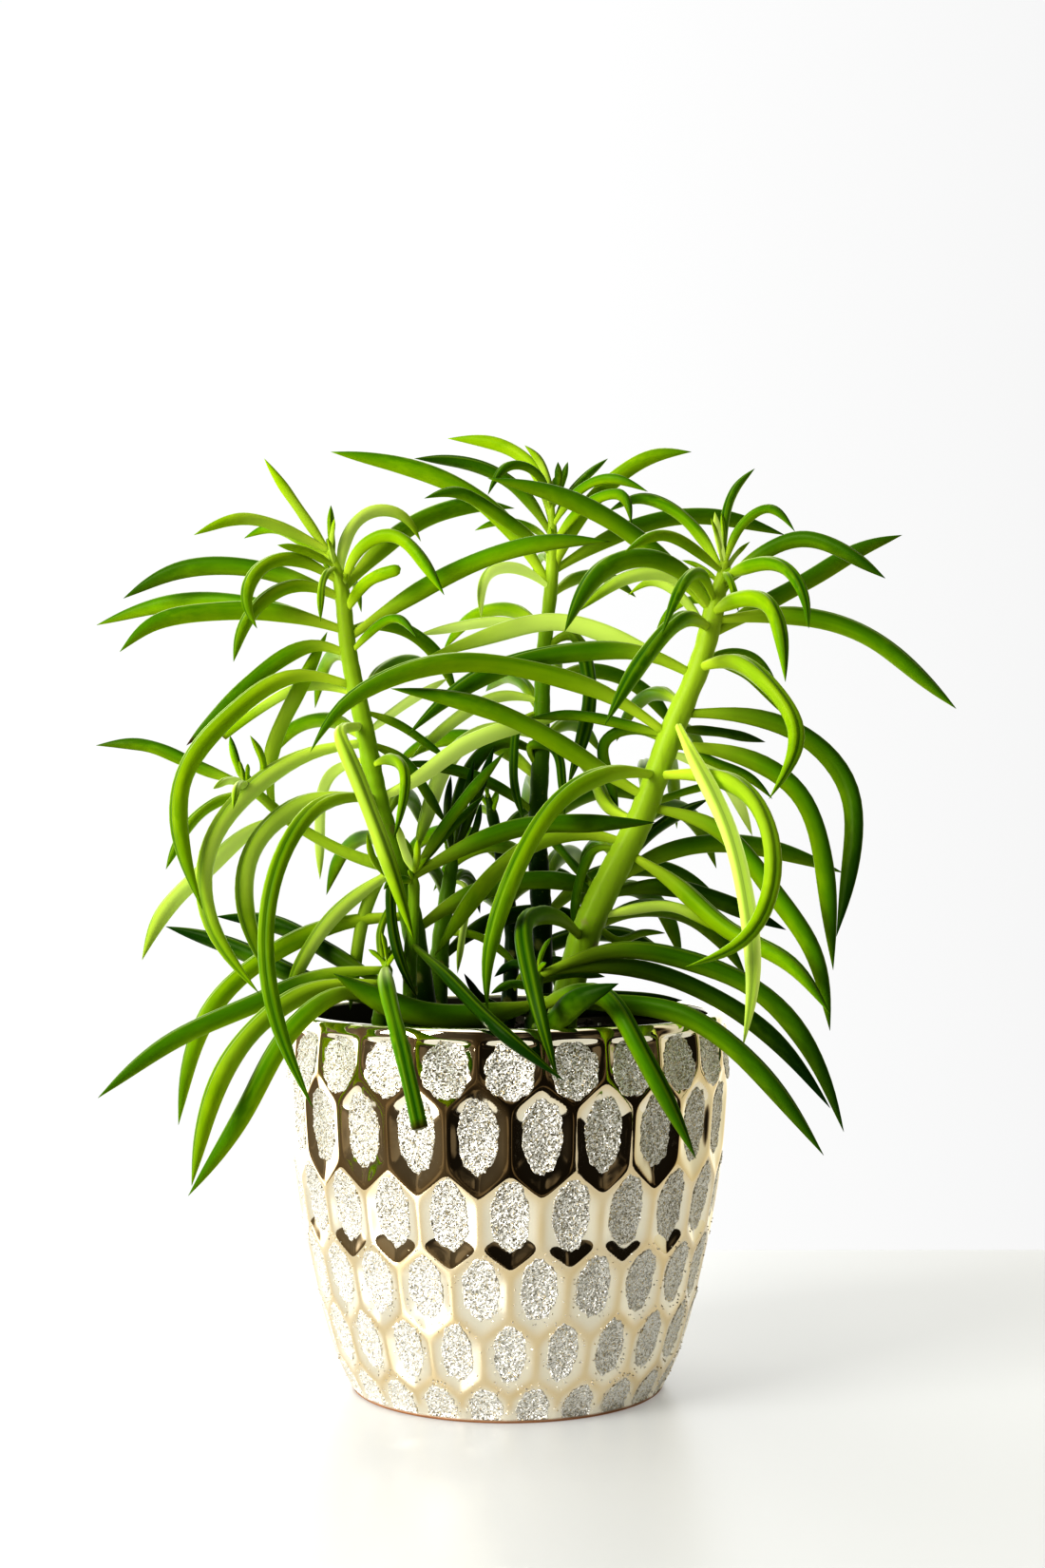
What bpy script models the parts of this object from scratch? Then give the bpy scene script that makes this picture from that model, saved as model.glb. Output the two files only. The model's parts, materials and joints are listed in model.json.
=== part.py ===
"""A potted peperomia: a honeycomb dimpled pot, its soil and eight leafy stems. Metres, +Z up, table at z = 0.

The front of the plant faces -Y. Every route is given in millimetres as it is seen from the front, on the
plane through the pot's axis: across from the axis, and up from the table. A depth behind that plane (less
than zero in front of it) then moves the point along the line of sight, so a leaf keeps its place in the
front view whatever its depth.
"""

import bmesh
import bpy
import numpy as np

MM = 0.001

# The eye that the front view is seen from, in mm
EYE_ACROSS = 4.4
EYE_AWAY = 650.0
EYE_UP = 163.3

# Pot, in mm: height of the rim, and the outline as (height, radius) from the foot to the rim band
POT_HEIGHT = 110.2
POT_OUTLINE = [
    (0.0, 45.8), (9.0, 50.2), (33.0, 57.1), (61.0, 62.7), (86.0, 65.2), (103.0, 65.2), (110.2, 64.2)
]
POT_WALL = 5.0
FOOT_EDGE = 1.2
FOOT_ROUND = 0.6
BAND_BOTTOM = 106.8
LIP_ROUND = 0.9
LIP_CUT = 0.36
OUTLINE_SAMPLES = 400
ROW_SAMPLES = 1200

# Heights of the corners of the inner wall, in mm, from the floor inside to just under the lip
INNER_HEIGHTS = (6.0, 33.0, 61.0, 86.0, 108.7)

# The rim as a ring of spheres that leaves keep clear of, in mm
RIM_SPHERES = 160
RIM_MIDDLE = 62.3
RIM_UP = 107.6

# Honeycomb of dimples: how many go round, the turn of the first row, and the row pitch over the radius
CELLS_AROUND = 23
FIRST_CELL_TURN = np.radians(1.0)
MIDDLE_ROW_UP = 59.6
ROW_PITCH_RATIO = 0.345
RIDGE_HALF_WIDTH = 2.6
DIMPLE_DEPTH = 1.5
DIMPLE_EDGE_SHARE = 0.65
POINT_SHARE = 1 / 6

# Soil, in mm: its surface, the waviness of it, the gap to the pot and to a stem, and how deep stems stand
SOIL_UP = 102.0
SOIL_WAVE = 1.2
SOIL_RINGS = (1.0, 0.7, 0.35)
WAVES_AROUND = 3
TOUCH_GAP = 0.3
STEM_DEEP = 24.0
STEM_SIDES = 8
HOLE_SIDES = 16

# Leaves, in mm
BLADE_PER_LENGTH = 0.085
BLADE_SIZES = (2.6, 5.8)
STALK_SHARE = 0.45
STALK_END = 0.32
TIP_START = 0.68
NEAR_ROOT = 0.3
TANGENT_STEP = 0.01
LONG_RINGS = np.array([0.0, 0.15, 0.35, 0.57, 0.78, 1.0])
SHORT_RINGS = np.array([0.0, 0.2, 0.5, 0.78, 1.0])
SHORT_LENGTH = 56.0
SAMPLES = 25
CLEAR_OF_OTHERS = 1.6
CLEAR_OF_OWN = 0.1
DEPTH_STEP = 2.5
DEPTH_TRIES = 12

# Blade section as (across, up) shares of its size: flat window on top, full sides and a keel below
BLADE_SECTION = np.array([(-0.22, 0.42), (-0.42, 0.1), (0.0, -0.52), (0.42, 0.1), (0.22, 0.42)])

# Stems: route as (across, up, depth), radius at the foot and at the tip
# Leaves: root on the stem, the points the blade passes, then the tip with its depth
LEFT_STEM = {
    "route": [(-24, 107, -12), (-28, 133, -13), (-32, 150, -14), (-38, 170, -15), (-43, 195, -16),
              (-48, 220, -17), (-50, 237, -18), (-53, 247, -19)],
    "radii": (3.4, 2.0),
    "leaves": [
        [(-54, 244), (-66, 265), (-73, 275, -22)],
        [(-52, 245), (-53, 253), (-53, 261, -16)],
        [(-54, 246), (-65, 253), (-80, 257), (-94, 252, -32)],
        [(-55, 244), (-63, 251), (-72, 254), (-79, 251, 0)],
        [(-54, 241), (-63, 248), (-69, 249, -30)],
        [(-54, 232), (-67, 240), (-87, 243), (-100, 241), (-115, 233, -8)],
        [(-53, 238), (-65, 245), (-75, 241, -34), (-78, 231, -40), (-75, 224, -42)],
        [(-51, 222), (-83, 232), (-104, 231), (-123, 225, 8)],
        [(-51, 222), (-70, 229), (-90, 229), (-107, 225), (-116, 217, -38)],
        [(-51, 232), (-62, 237), (-71, 234), (-80, 222), (-82, 214, -46)],
        [(-52, 243), (-55, 239, -28), (-56, 232, -34), (-56, 226, -36)],
        [(-50, 237), (-49, 249), (-41, 259), (-32, 258), (-26, 250, -4)],
        [(-49, 235), (-43, 249), (-35, 252), (-26, 245), (-19, 234, -32)],
        [(-48, 236), (-37, 249), (-20, 259), (-8, 261), (2, 260, 24)],
        [(-49, 229), (-42, 238), (-32, 242, -28)],
        [(-46, 222), (-27, 235), (-1, 247), (14, 250), (31, 250, -22)],
        [(-45, 216), (-41, 223), (-33, 227), (-27, 221, -34)],
        [(-47, 217), (-57, 219), (-68, 215), (-84, 201), (-96, 189, -22)],
        [(-47, 206), (-63, 210), (-82, 199), (-97, 179), (-97, 158), (-91, 140, -48)],
        [(-47, 204), (-58, 207), (-71, 202), (-85, 192, 4)],
        [(-43, 189), (-58, 187), (-74, 178), (-89, 158), (-89, 138), (-74, 115, -50)],
        [(-40, 172), (-60, 172), (-76, 158), (-78, 140), (-69, 117, -38)],
        [(-40, 173), (-56, 171, -36), (-68, 154, -50), (-72, 132, -56), (-68, 105, -60), (-58, 81, -62)],
        [(-42, 185), (-52, 181), (-56, 165), (-56, 149, 2)],
        [(-43, 195), (-50, 193, -28), (-48, 186, -36), (-40, 166, -42), (-32, 143, -44), (-28, 131, -44)],
        [(-42, 183), (-35, 185, -26), (-31, 181, -36), (-34, 161, -40)],
        [(-42, 193), (-30, 202), (-18, 209, 6)],
        [(-32, 153), (-50, 140), (-62, 123), (-67, 111, -26)],
        [(-33, 154), (-40, 146), (-45, 128), (-47, 110, -16)],
        [(-33, 155), (-35, 143, -26), (-31, 122, -32), (-27, 114, -33)],
        [(-31, 148), (-40, 155), (-42, 163, -28)],
        [(-39, 173), (-29, 178), (-15, 188), (0, 194), (16, 197, 0)],
        [(-29, 138), (-50, 136), (-72, 126), (-88, 111), (-95, 94), (-98, 76, -32)],
        [(-43, 199), (-34, 196), (-26, 191), (-18, 185, 2)],
        [(-41, 191), (-32, 185), (-25, 176), (-18, 165, 8)],
    ],
    "branch": {
        "route": [
            (-32, 152, -14), (-43, 155, -16), (-58, 162, -18),
            (-67, 168, -19), (-74, 174, -20), (-79, 178, -21),
        ],
        "radii": (1.9, 1.3),
        "leaves": [
            [(-79, 177), (-93, 183), (-108, 189), (-123, 189, -14)],
            [(-78, 177), (-81, 184), (-83, 192, -18)],
            [(-75, 175), (-73, 182), (-77, 192, -32)],
            [(-77, 175), (-87, 172), (-96, 164), (-102, 152, -40)],
            [(-79, 177), (-85, 178, -38), (-88, 176, -44)],
            [(-77, 176), (-81, 176, -38), (-82, 170, -44)],
            [(-70, 171), (-71, 185), (-64, 203), (-54, 223, -2)],
            [(-66, 167), (-74, 165), (-88, 154), (-104, 137), (-109, 125, -50)],
        ],
    },
}
BACK_STEM = {
    "route": [
        (10, 108, 16), (10, 139, 16), (9, 160, 15), (10, 190, 14), (11, 219, 13), (13, 237, 12), (13, 262, 11)
    ],
    "radii": (3.4, 1.6),
    "leaves": [
        [(12, 236), (4, 250), (-9, 263), (-25, 271), (-53, 277, 4)],
        [(13, 253), (8, 272), (-2, 279), (-18, 281, 26)],
        [(13, 251), (3, 266), (-10, 273), (-28, 275, 14)],
        [(12, 246), (-7, 261), (-16, 265), (-25, 263, -10)],
        [(13, 260), (8, 271), (1, 273), (-6, 264, -6)],
        [(13, 262), (9, 275), (5, 279, 16)],
        [(13, 262), (15, 268), (15, 274, 9)],
        [(13, 260), (16, 267), (18, 274, 20)],
        [(13, 253), (20, 266), (30, 275, 26)],
        [(13, 241), (21, 257), (32, 269), (44, 276), (55, 277, 0)],
        [(13, 253), (21, 265), (30, 269), (42, 265, -8)],
        [(13, 250), (27, 263), (34, 264), (37, 255, -14)],
        [(13, 240), (28, 250), (47, 257), (66, 257), (83, 252, 36)],
        [(12, 236), (3, 242), (-5, 241), (-8, 227, -16)],
        [(11, 217), (19, 222), (23, 215), (22, 190), (18, 177, -6)],
        [(10, 203), (0, 204), (-14, 198), (-29, 185, -2)],
        [(9, 167), (0, 175), (-10, 180), (-22, 183), (-32, 184, 6)],
        [(11, 222), (0, 226), (-13, 225), (-27, 222, 10)],
        [(10, 199), (4, 196), (2, 188), (2, 178), (5, 166, 4)],
        [(10, 182), (7, 189), (12, 189), (16, 180), (17, 168, -4)],
        [(10, 186), (-2, 190), (-10, 184), (-15, 172), (-18, 157, 6)],
        [(10, 192), (-4, 194), (-16, 187), (-23, 172), (-28, 156, 0)],
    ],
}
RIGHT_STEM = {
    "route": [(16, 107, -4), (24, 135, -5), (32, 152, -6), (40, 168, -7), (49, 193, -8), (58, 215, -9),
              (62, 231, -10), (65, 243, -10)],
    "radii": (4.6, 2.6),
    "leaves": [
        [(62, 229), (47, 244), (30, 257), (12, 265), (-6, 269, -22)],
        [(65, 241), (65, 256), (69, 267), (74, 272, 0)],
        [(64, 242), (63, 251), (62, 259, -14)],
        [(65, 242), (70, 255), (78, 260), (86, 253, -18)],
        [(64, 236), (77, 247), (88, 251), (101, 247), (113, 239, -34)],
        [(60, 222), (74, 230), (92, 240), (106, 248), (118, 252, 8)],
        [(61, 226), (76, 228), (93, 227), (109, 221), (123, 210), (134, 200, -16)],
        [(62, 229), (70, 233, -30), (78, 231, -42), (82, 219, -48), (83, 208, -50)],
        [(64, 237), (73, 243, -26), (83, 242, -38), (89, 232, -44), (90, 224, -45)],
        [(64, 240), (67, 237, -24), (69, 229, -32)],
        [(64, 241), (59, 250), (49, 260), (39, 263), (30, 259, -4)],
        [(63, 240), (54, 249), (45, 252), (35, 247, -36)],
        [(62, 229), (54, 239), (43, 245), (29, 242), (17, 223, -46)],
        [(61, 228), (48, 240), (38, 240), (21, 229, -20)],
        [(60, 222), (49, 236), (43, 238), (36, 234, 6)],
        [(62, 231), (58, 240, -22), (53, 238, -34), (46, 222, -40)],
        [(60, 225), (53, 227, -26), (44, 219, -40), (35, 206, -50), (29, 195, -54)],
        [(56, 210), (43, 216), (20, 217), (0, 213), (-18, 203), (-30, 192, -24)],
        [(56, 211), (35, 220), (15, 226), (-5, 222), (-25, 215, 0)],
        [(48, 191), (34, 202), (10, 211), (-16, 214), (-36, 209), (-52, 198), (-59, 187, -50)],
        [(42, 173), (26, 183), (8, 194), (-12, 202), (-35, 206, -36)],
        [(48, 191), (32, 196), (19, 198), (6, 197, -8)],
        [
            (44, 180), (32, 181, -24), (16, 173, -38), (6, 159, -46),
            (-2, 140, -50), (-6, 123, -51), (-6, 109, -50),
        ],
        [(58, 213), (68, 214, -26), (78, 207, -38), (86, 193, -46), (78, 173, -52)],
        [(58, 215), (68, 212), (77, 205), (84, 197, 2)],
        [(51, 198), (71, 198), (90, 191), (102, 176), (103, 157), (98, 132, -28)],
        [(48, 189), (70, 186), (87, 175), (94, 157), (96, 140), (97, 122, -8)],
        [(41, 171), (63, 164), (79, 146), (91, 128), (96, 104, -24)],
        [(50, 196), (56, 184, -26), (66, 163, -42), (71, 143, -50), (73, 118, -54), (70, 99, -54)],
        [(45, 180), (60, 180, -24), (73, 173, -40), (79, 155, -50), (70, 131, -56), (53, 123, -58)],
        [(34, 157), (51, 147), (66, 134), (84, 124), (96, 109, -36)],
        [(25, 137), (36, 140), (49, 141), (65, 132, -12)],
        [(28, 145), (42, 147), (60, 144), (83, 134, 16)],
        [(29, 148), (44, 156), (63, 160), (83, 157), (100, 151, 26)],
        [(32, 152), (43, 163), (60, 173, 20)],
        [(41, 172), (52, 175), (64, 178, 8)],
        [(49, 192), (62, 184), (73, 179), (79, 173, 2)],
        [(49, 194), (64, 193), (77, 190, 14)],
        [(47, 187), (62, 181), (73, 162, 12)],
        [(22, 131), (14, 138, -24), (6, 137, -40), (6, 124, -58), (11, 104, -70), (15, 89, -72)],
        [(35, 159), (20, 163), (8, 160), (-3, 152), (-13, 140), (-22, 126, -22)],
        [(28, 145), (20, 153), (14, 160), (8, 166, 10)],
        [(34, 157), (26, 158), (22, 151), (20, 141), (20, 131, 0)],
        [(48, 190), (37, 194), (29, 190), (30, 180), (33, 168, 6)],
        [(39, 167), (31, 170), (26, 179), (18, 188), (8, 190, 12)],
        [(25, 137), (33, 131), (40, 133), (47, 133, 10)],
    ],
}
INNER_STEM = {
    "route": [(-21, 107, 10), (-20, 130, 11), (-18, 145, 12), (-16, 157, 13)],
    "radii": (3.2, 1.8),
    "leaves": [
        [(-15, 155), (-18, 168), (-17, 180, 8)],
        [(-15, 156), (-13, 171), (-10, 185, 14)],
        [(-15, 156), (-9, 174), (-4, 189, 22)],
        [(-15, 154), (-10, 163), (-8, 172, 2)],
        [(-19, 138), (-11, 144), (-3, 150), (10, 162, 4)],
        [(-20, 133), (-12, 133), (-2, 128), (4, 122, 4)],
        [(-18, 149), (-14, 148), (-13, 136), (-15, 121, 6)],
    ],
}
STAR_SHOOT = {
    "route": [(-29, 106, -27), (-29, 125, -28), (-28, 141, -29), (-28, 151, -30)],
    "radii": (2.2, 1.5),
    "leaves": [
        [(-28, 150), (-20, 155), (-8, 161), (5, 165), (22, 166), (44, 166, -30)],
        [(-28, 151), (-20, 161), (-7, 174, -20)],
        [(-28, 151), (-31, 158), (-33, 166, -34)],
        [(-28, 151), (-27, 156, -40), (-27, 161, -46)],
        [(-28, 148), (-34, 149, -42), (-37, 146, -50)],
        [(-28, 130), (-16, 118, -50), (-1, 103, -70), (17, 89, -74)],
        [(-28, 151), (-21, 162), (-12, 174), (-1, 187, -8)],
    ],
}
LEFT_SHOOT = {
    "route": [(-38, 105, -24), (-37, 114, -25), (-36, 124, -26)],
    "radii": (2.6, 1.6),
    "leaves": [
        [(-36, 122), (-36, 116, -52), (-31, 96, -68), (-26, 75, -72)],
        [(-37, 122), (-52, 121), (-76, 112), (-100, 101), (-122, 84, -38)],
        [(-37, 118), (-55, 117), (-73, 107), (-86, 89), (-94, 58, -56)],
        [(-37, 112), (-50, 115, -38), (-64, 105, -44), (-77, 83, -47), (-95, 55, -48)],
        [(-37, 112), (-62, 120), (-82, 129), (-102, 135, 14)],
        [(-37, 118), (-54, 128), (-70, 136), (-87, 138, 26)],
        [(-37, 114), (-56, 116), (-66, 114), (-73, 105, -16)],
        [(-36, 121), (-38, 133), (-33, 144, -38)],
        [(-37, 109), (-27, 111), (-15, 109), (-3, 107, -6)],
    ],
}
FRONT_SHOOT = {
    "route": [(8, 105, -26), (8, 112, -26), (9, 122, -26)],
    "radii": (2.6, 1.6),
    "leaves": [
        [(9, 120), (32, 128), (54, 125), (76, 115), (91, 97), (100, 74, -34)],
        [(9, 121), (36, 123), (58, 116), (80, 101), (96, 81, -12)],
        [(9, 113), (36, 112, -42), (52, 109, -50), (73, 94, -55), (94, 67, -58)],
        [(9, 110), (19, 115, -44), (29, 114, -55), (38, 101, -64), (47, 84, -67), (56, 66, -69)],
        [(8, 105), (14, 105.5, -50), (20, 112, -63), (33, 118, -72)],
        [(9, 118), (18, 121), (29, 120, -10)],
        [(9, 114), (30, 114), (52, 113, 2)],
        [(8, 112), (-7, 109, -34), (-28, 110, -37), (-52, 121, -36)],
        [(8, 107), (22, 110), (38, 110), (58, 108, -12)],
        [(8, 108), (-2, 111), (-12, 110), (-22, 107, -14)],
        [(9, 116), (2, 118), (-5, 115, -34)],
        [(9, 119), (3, 124), (-4, 120, -12)],
    ],
}
REAR_SHOOT = {
    "route": [(0, 108, 34), (1, 122, 34), (1, 136, 35), (-1, 150, 36), (-3, 161, 37), (-6, 174, 38)],
    "radii": (2.4, 1.6),
    "leaves": [
        [(0, 110), (-8, 114), (-13, 121, 20)],
        [(1, 114), (6, 122), (14, 125), (24, 122, 16)],
    ],
}
LEAFY_STEMS = {
    "left_stem": LEFT_STEM,
    "back_stem": BACK_STEM,
    "right_stem": RIGHT_STEM,
    "inner_stem": INNER_STEM,
    "star_shoot": STAR_SHOOT,
    "left_shoot": LEFT_SHOOT,
    "front_shoot": FRONT_SHOOT,
    "rear_shoot": REAR_SHOOT,
}

# Leaves that the front view doesn't show, on a seeded golden angle spiral: how many each stem has, and how
# far to either side of straight back they may turn, in degrees
SPIRAL_SEED = 23
GOLDEN_ANGLE = np.radians(137.5)
SPIRAL_LEAVES = {
    "left_stem": (10, 55),
    "back_stem": (14, 60),
    "right_stem": (11, 55),
    "inner_stem": (2, 60),
    "rear_shoot": (8, 60),
}
SPIRAL_LENGTHS = (52.0, 78.0)
SPIRAL_RISE = (25.0, 50.0)
SPIRAL_BEND = (60.0, 105.0)
SPIRAL_FOOT = 0.16
SPIRAL_TOP = 0.96
TIP_SHORTENING = 0.55
TURN_STEP = np.radians(6.0)
TURN_TRIES = 12


def smooth_path(points, shares):
    """Natural cubic spline through the points, read at the given shares of its chord length."""
    points = np.asarray(points, float)
    knots = np.concatenate([[0.0], np.cumsum(np.linalg.norm(np.diff(points, axis=0), axis=1))])
    knots /= knots[-1]
    gaps = np.diff(knots)
    slopes = np.diff(points, axis=0) / gaps[:, None]
    matrix = np.eye(len(points))
    right = np.zeros_like(points)
    for i in range(1, len(points) - 1):
        matrix[i, i - 1:i + 2] = gaps[i - 1], 2 * (gaps[i - 1] + gaps[i]), gaps[i]
        right[i] = 6 * (slopes[i] - slopes[i - 1])
    bends = np.linalg.solve(matrix, right)
    shares = np.asarray(shares, float)
    span = np.clip(np.searchsorted(knots, shares, side="right") - 1, 0, len(gaps) - 1)
    gap = gaps[span][:, None]
    after = (shares - knots[span])[:, None]
    before = gap - after
    start, end = bends[span], bends[span + 1]
    curved = (start * before**3 + end * after**3) / (6 * gap)
    straight_start = (points[span] / gap - start * gap / 6) * before
    straight_end = (points[span + 1] / gap - end * gap / 6) * after
    return curved + straight_start + straight_end


def true_place(seen):
    """Rows of (across, up, depth) as seen, moved along the line of sight to (x, y, z)."""
    seen = np.asarray(seen, float)
    reach = (EYE_AWAY + seen[:, 2:3]) / EYE_AWAY
    eye = np.array([EYE_ACROSS, EYE_UP])
    flat = eye + (seen[:, :2] - eye) * reach
    return np.column_stack([flat[:, 0], seen[:, 2], flat[:, 1]])


def smooth_step(low, high, value):
    share = np.clip((value - low) / (high - low), 0.0, 1.0)
    return share * share * (3 - 2 * share)


def stem_line(stem, count=60):
    """The stem's centreline in seen coordinates, foot to tip."""
    return smooth_path(stem["route"], np.linspace(0, 1, count))


def leaf_points(stem, drawn, push):
    """The leaf's own points in true places. A point with no depth of its own gets one between its
    neighbours' by how far along it is, and push moves the tip that much deeper, the root not at all."""
    line = stem_line(stem)
    root = np.array(drawn[0][:2], float)
    root_depth = line[np.argmin(np.hypot(*(line[:, :2] - root).T)), 2]
    flat = np.array([point[:2] for point in drawn], float)
    along = np.concatenate([[0.0], np.cumsum(np.hypot(*np.diff(flat, axis=0).T))])
    along /= along[-1]
    eased = 0.5 * along + 0.5 * along**2 * (3 - 2 * along)
    known = [0] + [i for i, point in enumerate(drawn) if i and len(point) == 3]
    depths = [root_depth] + [drawn[i][2] for i in known[1:]]
    depth = np.interp(eased, eased[known], depths) + push * eased
    flat[0] = line[np.argmin(np.hypot(*(line[:, :2] - root).T)), :2]
    return true_place(np.column_stack([flat, depth]))


def arched_leaf_points(root, turn, length, rise, bend):
    """An arc of a circle: it leaves the root at the angle rise and has turned down by bend at its tip."""
    shares = np.linspace(0, 1, 5)
    radius = length / bend
    out = radius * (np.sin(rise) - np.sin(rise - bend * shares))
    up = radius * (np.cos(rise - bend * shares) - np.cos(rise))
    return root + np.column_stack([out * np.cos(turn), out * np.sin(turn), up])


def blade_size(length):
    return float(np.clip(BLADE_PER_LENGTH * length, *BLADE_SIZES))


def blade_widths(shares):
    """Share of the full size along a leaf: a slim stalk that widens, and a pointed tip."""
    stalk = STALK_SHARE + (1 - STALK_SHARE) * smooth_step(0.0, STALK_END, shares)
    tip = 1 - np.clip((shares - TIP_START) / (1 - TIP_START), 0, 1) ** 2
    return stalk * tip


def path_length(points):
    line = smooth_path(points, np.linspace(0, 1, SAMPLES))
    return float(np.linalg.norm(np.diff(line, axis=0), axis=1).sum())


class Placed:
    """Every piece put down so far, as spheres along its centreline."""

    def __init__(self):
        self.centres = np.zeros((0, 3))
        self.radii = np.zeros(0)
        self.owner = np.zeros(0, int)
        self.is_near_root = np.zeros(0, bool)

    def add(self, centres, radii, owner, is_near_root):
        self.centres = np.vstack([self.centres, centres])
        self.radii = np.concatenate([self.radii, radii])
        self.owner = np.concatenate([self.owner, np.full(len(radii), owner)])
        self.is_near_root = np.concatenate([self.is_near_root, is_near_root])

    def room(self, centres, radii, owner, is_near_root):
        """The least clearance that these spheres have, past what each neighbour is owed."""
        apart = np.linalg.norm(centres[:, None] - self.centres[None], axis=2)
        apart -= radii[:, None] + self.radii[None]
        own = self.owner == owner
        owed = np.where(own, CLEAR_OF_OWN, CLEAR_OF_OTHERS)[None]
        joined = own[None] & (is_near_root[:, None] | self.is_near_root[None])
        return float(np.where(joined, np.inf, apart - owed).min())


def leaf_spheres(points):
    shares = np.linspace(0, 1, SAMPLES)
    centres = smooth_path(points, shares)
    radii = 0.5 * blade_size(path_length(points)) * blade_widths(shares)
    return centres, radii, shares < NEAR_ROOT


def place_leaf(placed, owner, choices):
    """The first of the choices that is clear of everything placed, or else the one with the most room."""
    best = None
    for points in choices:
        spheres = leaf_spheres(points)
        room = placed.room(spheres[0], spheres[1], owner, spheres[2])
        if best is None or room > best[0]:
            best = room, points, spheres
        if room >= 0:
            break
    placed.add(best[2][0], best[2][1], owner, best[2][2])
    return best[1]


def pushes():
    """0, then ever larger moves in depth, away and towards in turn."""
    steps = [0.0]
    for i in range(1, DEPTH_TRIES + 1):
        steps += [i * DEPTH_STEP, -i * DEPTH_STEP]
    return steps


def spiral_choices(line, draw, index, count, half_angle):
    """One leaf of a stem's spiral, then the same leaf turned ever further to either side."""
    share = SPIRAL_FOOT + (SPIRAL_TOP - SPIRAL_FOOT) * (index + 0.5) / count
    root = line[int(share * (len(line) - 1))]
    spiral = (index * GOLDEN_ANGLE) % (2 * np.pi) / (2 * np.pi)
    turn = np.pi / 2 + half_angle * (2 * spiral - 1)
    length = draw.uniform(*SPIRAL_LENGTHS) * (1 - TIP_SHORTENING * share**3)
    rise = np.radians(draw.uniform(*SPIRAL_RISE))
    bend = np.radians(draw.uniform(*SPIRAL_BEND))
    for step in range(TURN_TRIES):
        for side in (1, -1):
            yield arched_leaf_points(root, turn + side * step * TURN_STEP, length, rise, bend)


def grow():
    """Every leaf of every stem as its own points: first those that the front view shows, then the spirals."""
    placed = Placed()
    owners = {name: i for i, name in enumerate(LEAFY_STEMS)}
    limbs = {}
    for name, stem in LEAFY_STEMS.items():
        limbs[name] = [stem] + ([stem["branch"]] if "branch" in stem else [])
        for limb in limbs[name]:
            line = true_place(stem_line(limb))
            radii = np.linspace(*limb["radii"], len(line))
            placed.add(line, radii, owners[name], np.ones(len(line), bool))
    turns = np.linspace(0, 2 * np.pi, RIM_SPHERES, endpoint=False)
    rim_up = np.full(RIM_SPHERES, RIM_UP)
    rim = np.column_stack([RIM_MIDDLE * np.cos(turns), RIM_MIDDLE * np.sin(turns), rim_up])
    placed.add(rim, np.full(RIM_SPHERES, POT_WALL / 2), -1, np.zeros(RIM_SPHERES, bool))
    leaves = {name: [] for name in LEAFY_STEMS}
    for name in LEAFY_STEMS:
        for limb in limbs[name]:
            for drawn in limb["leaves"]:
                choices = (leaf_points(limb, drawn, push) for push in pushes())
                leaves[name].append(place_leaf(placed, owners[name], choices))
    draw = np.random.default_rng(SPIRAL_SEED)
    for name, (count, half_angle) in SPIRAL_LEAVES.items():
        line = true_place(stem_line(LEAFY_STEMS[name]))
        for index in range(count):
            choices = spiral_choices(line, draw, index, count, np.radians(half_angle))
            leaves[name].append(place_leaf(placed, owners[name], choices))
    return leaves


def new_object(name, bm):
    mesh = bpy.data.meshes.new(name)
    bm.normal_update()
    bm.to_mesh(mesh)
    bm.free()
    thing = bpy.data.objects.new(name, mesh)
    bpy.context.scene.collection.objects.link(thing)
    return thing


def material(name, colour, roughness, metallic=0.0):
    made = bpy.data.materials.new(name)
    made.use_nodes = True
    shader = made.node_tree.nodes["Principled BSDF"]
    shader.inputs["Base Color"].default_value = (*colour, 1.0)
    shader.inputs["Roughness"].default_value = roughness
    shader.inputs["Metallic"].default_value = metallic
    return made


def tube(rings, tip=None):
    """A closed mesh through rings of points, each in the same order, with flat ends or a pointed tip."""
    bm = bmesh.new()
    made = [[bm.verts.new(point * MM) for point in ring] for ring in rings]
    sides = len(rings[0])
    for below, above in zip(made, made[1:]):
        for i in range(sides):
            j = (i + 1) % sides
            bm.faces.new((below[i], below[j], above[j], above[i]))
    bm.faces.new(list(reversed(made[0])))
    if tip is None:
        bm.faces.new(made[-1])
    else:
        point = bm.verts.new(tip * MM)
        for i in range(sides):
            bm.faces.new((made[-1][i], made[-1][(i + 1) % sides], point))
    bmesh.ops.recalc_face_normals(bm, faces=bm.faces)
    return bm


def leaf_mesh(points):
    """The blade section carried along the leaf, upright in the upright plane that the leaf lies in."""
    rings_at = SHORT_RINGS if path_length(points) < SHORT_LENGTH else LONG_RINGS
    centres = smooth_path(points, rings_at)
    before = smooth_path(points, np.clip(rings_at - TANGENT_STEP, 0, 1))
    after = smooth_path(points, np.clip(rings_at + TANGENT_STEP, 0, 1))
    ahead = after - before
    ahead /= np.linalg.norm(ahead, axis=1)[:, None]
    outward = points[-1] - points[0]
    outward = outward * (1, 1, 0)
    if np.linalg.norm(outward) < 1:
        outward = np.array([0.0, -1.0, 0.0])
    across = np.cross(outward, (0, 0, 1))
    across = across - ahead * (ahead @ across)[:, None]
    across /= np.linalg.norm(across, axis=1)[:, None]
    above = np.cross(across, ahead)
    size = blade_size(path_length(points)) * blade_widths(rings_at)
    wide = BLADE_SECTION[None, :, 0:1] * size[:, None, None] * across[:, None]
    tall = BLADE_SECTION[None, :, 1:2] * size[:, None, None] * above[:, None]
    rings = centres[:, None] + wide + tall
    return tube(rings[:-1], tip=centres[-1])


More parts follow.
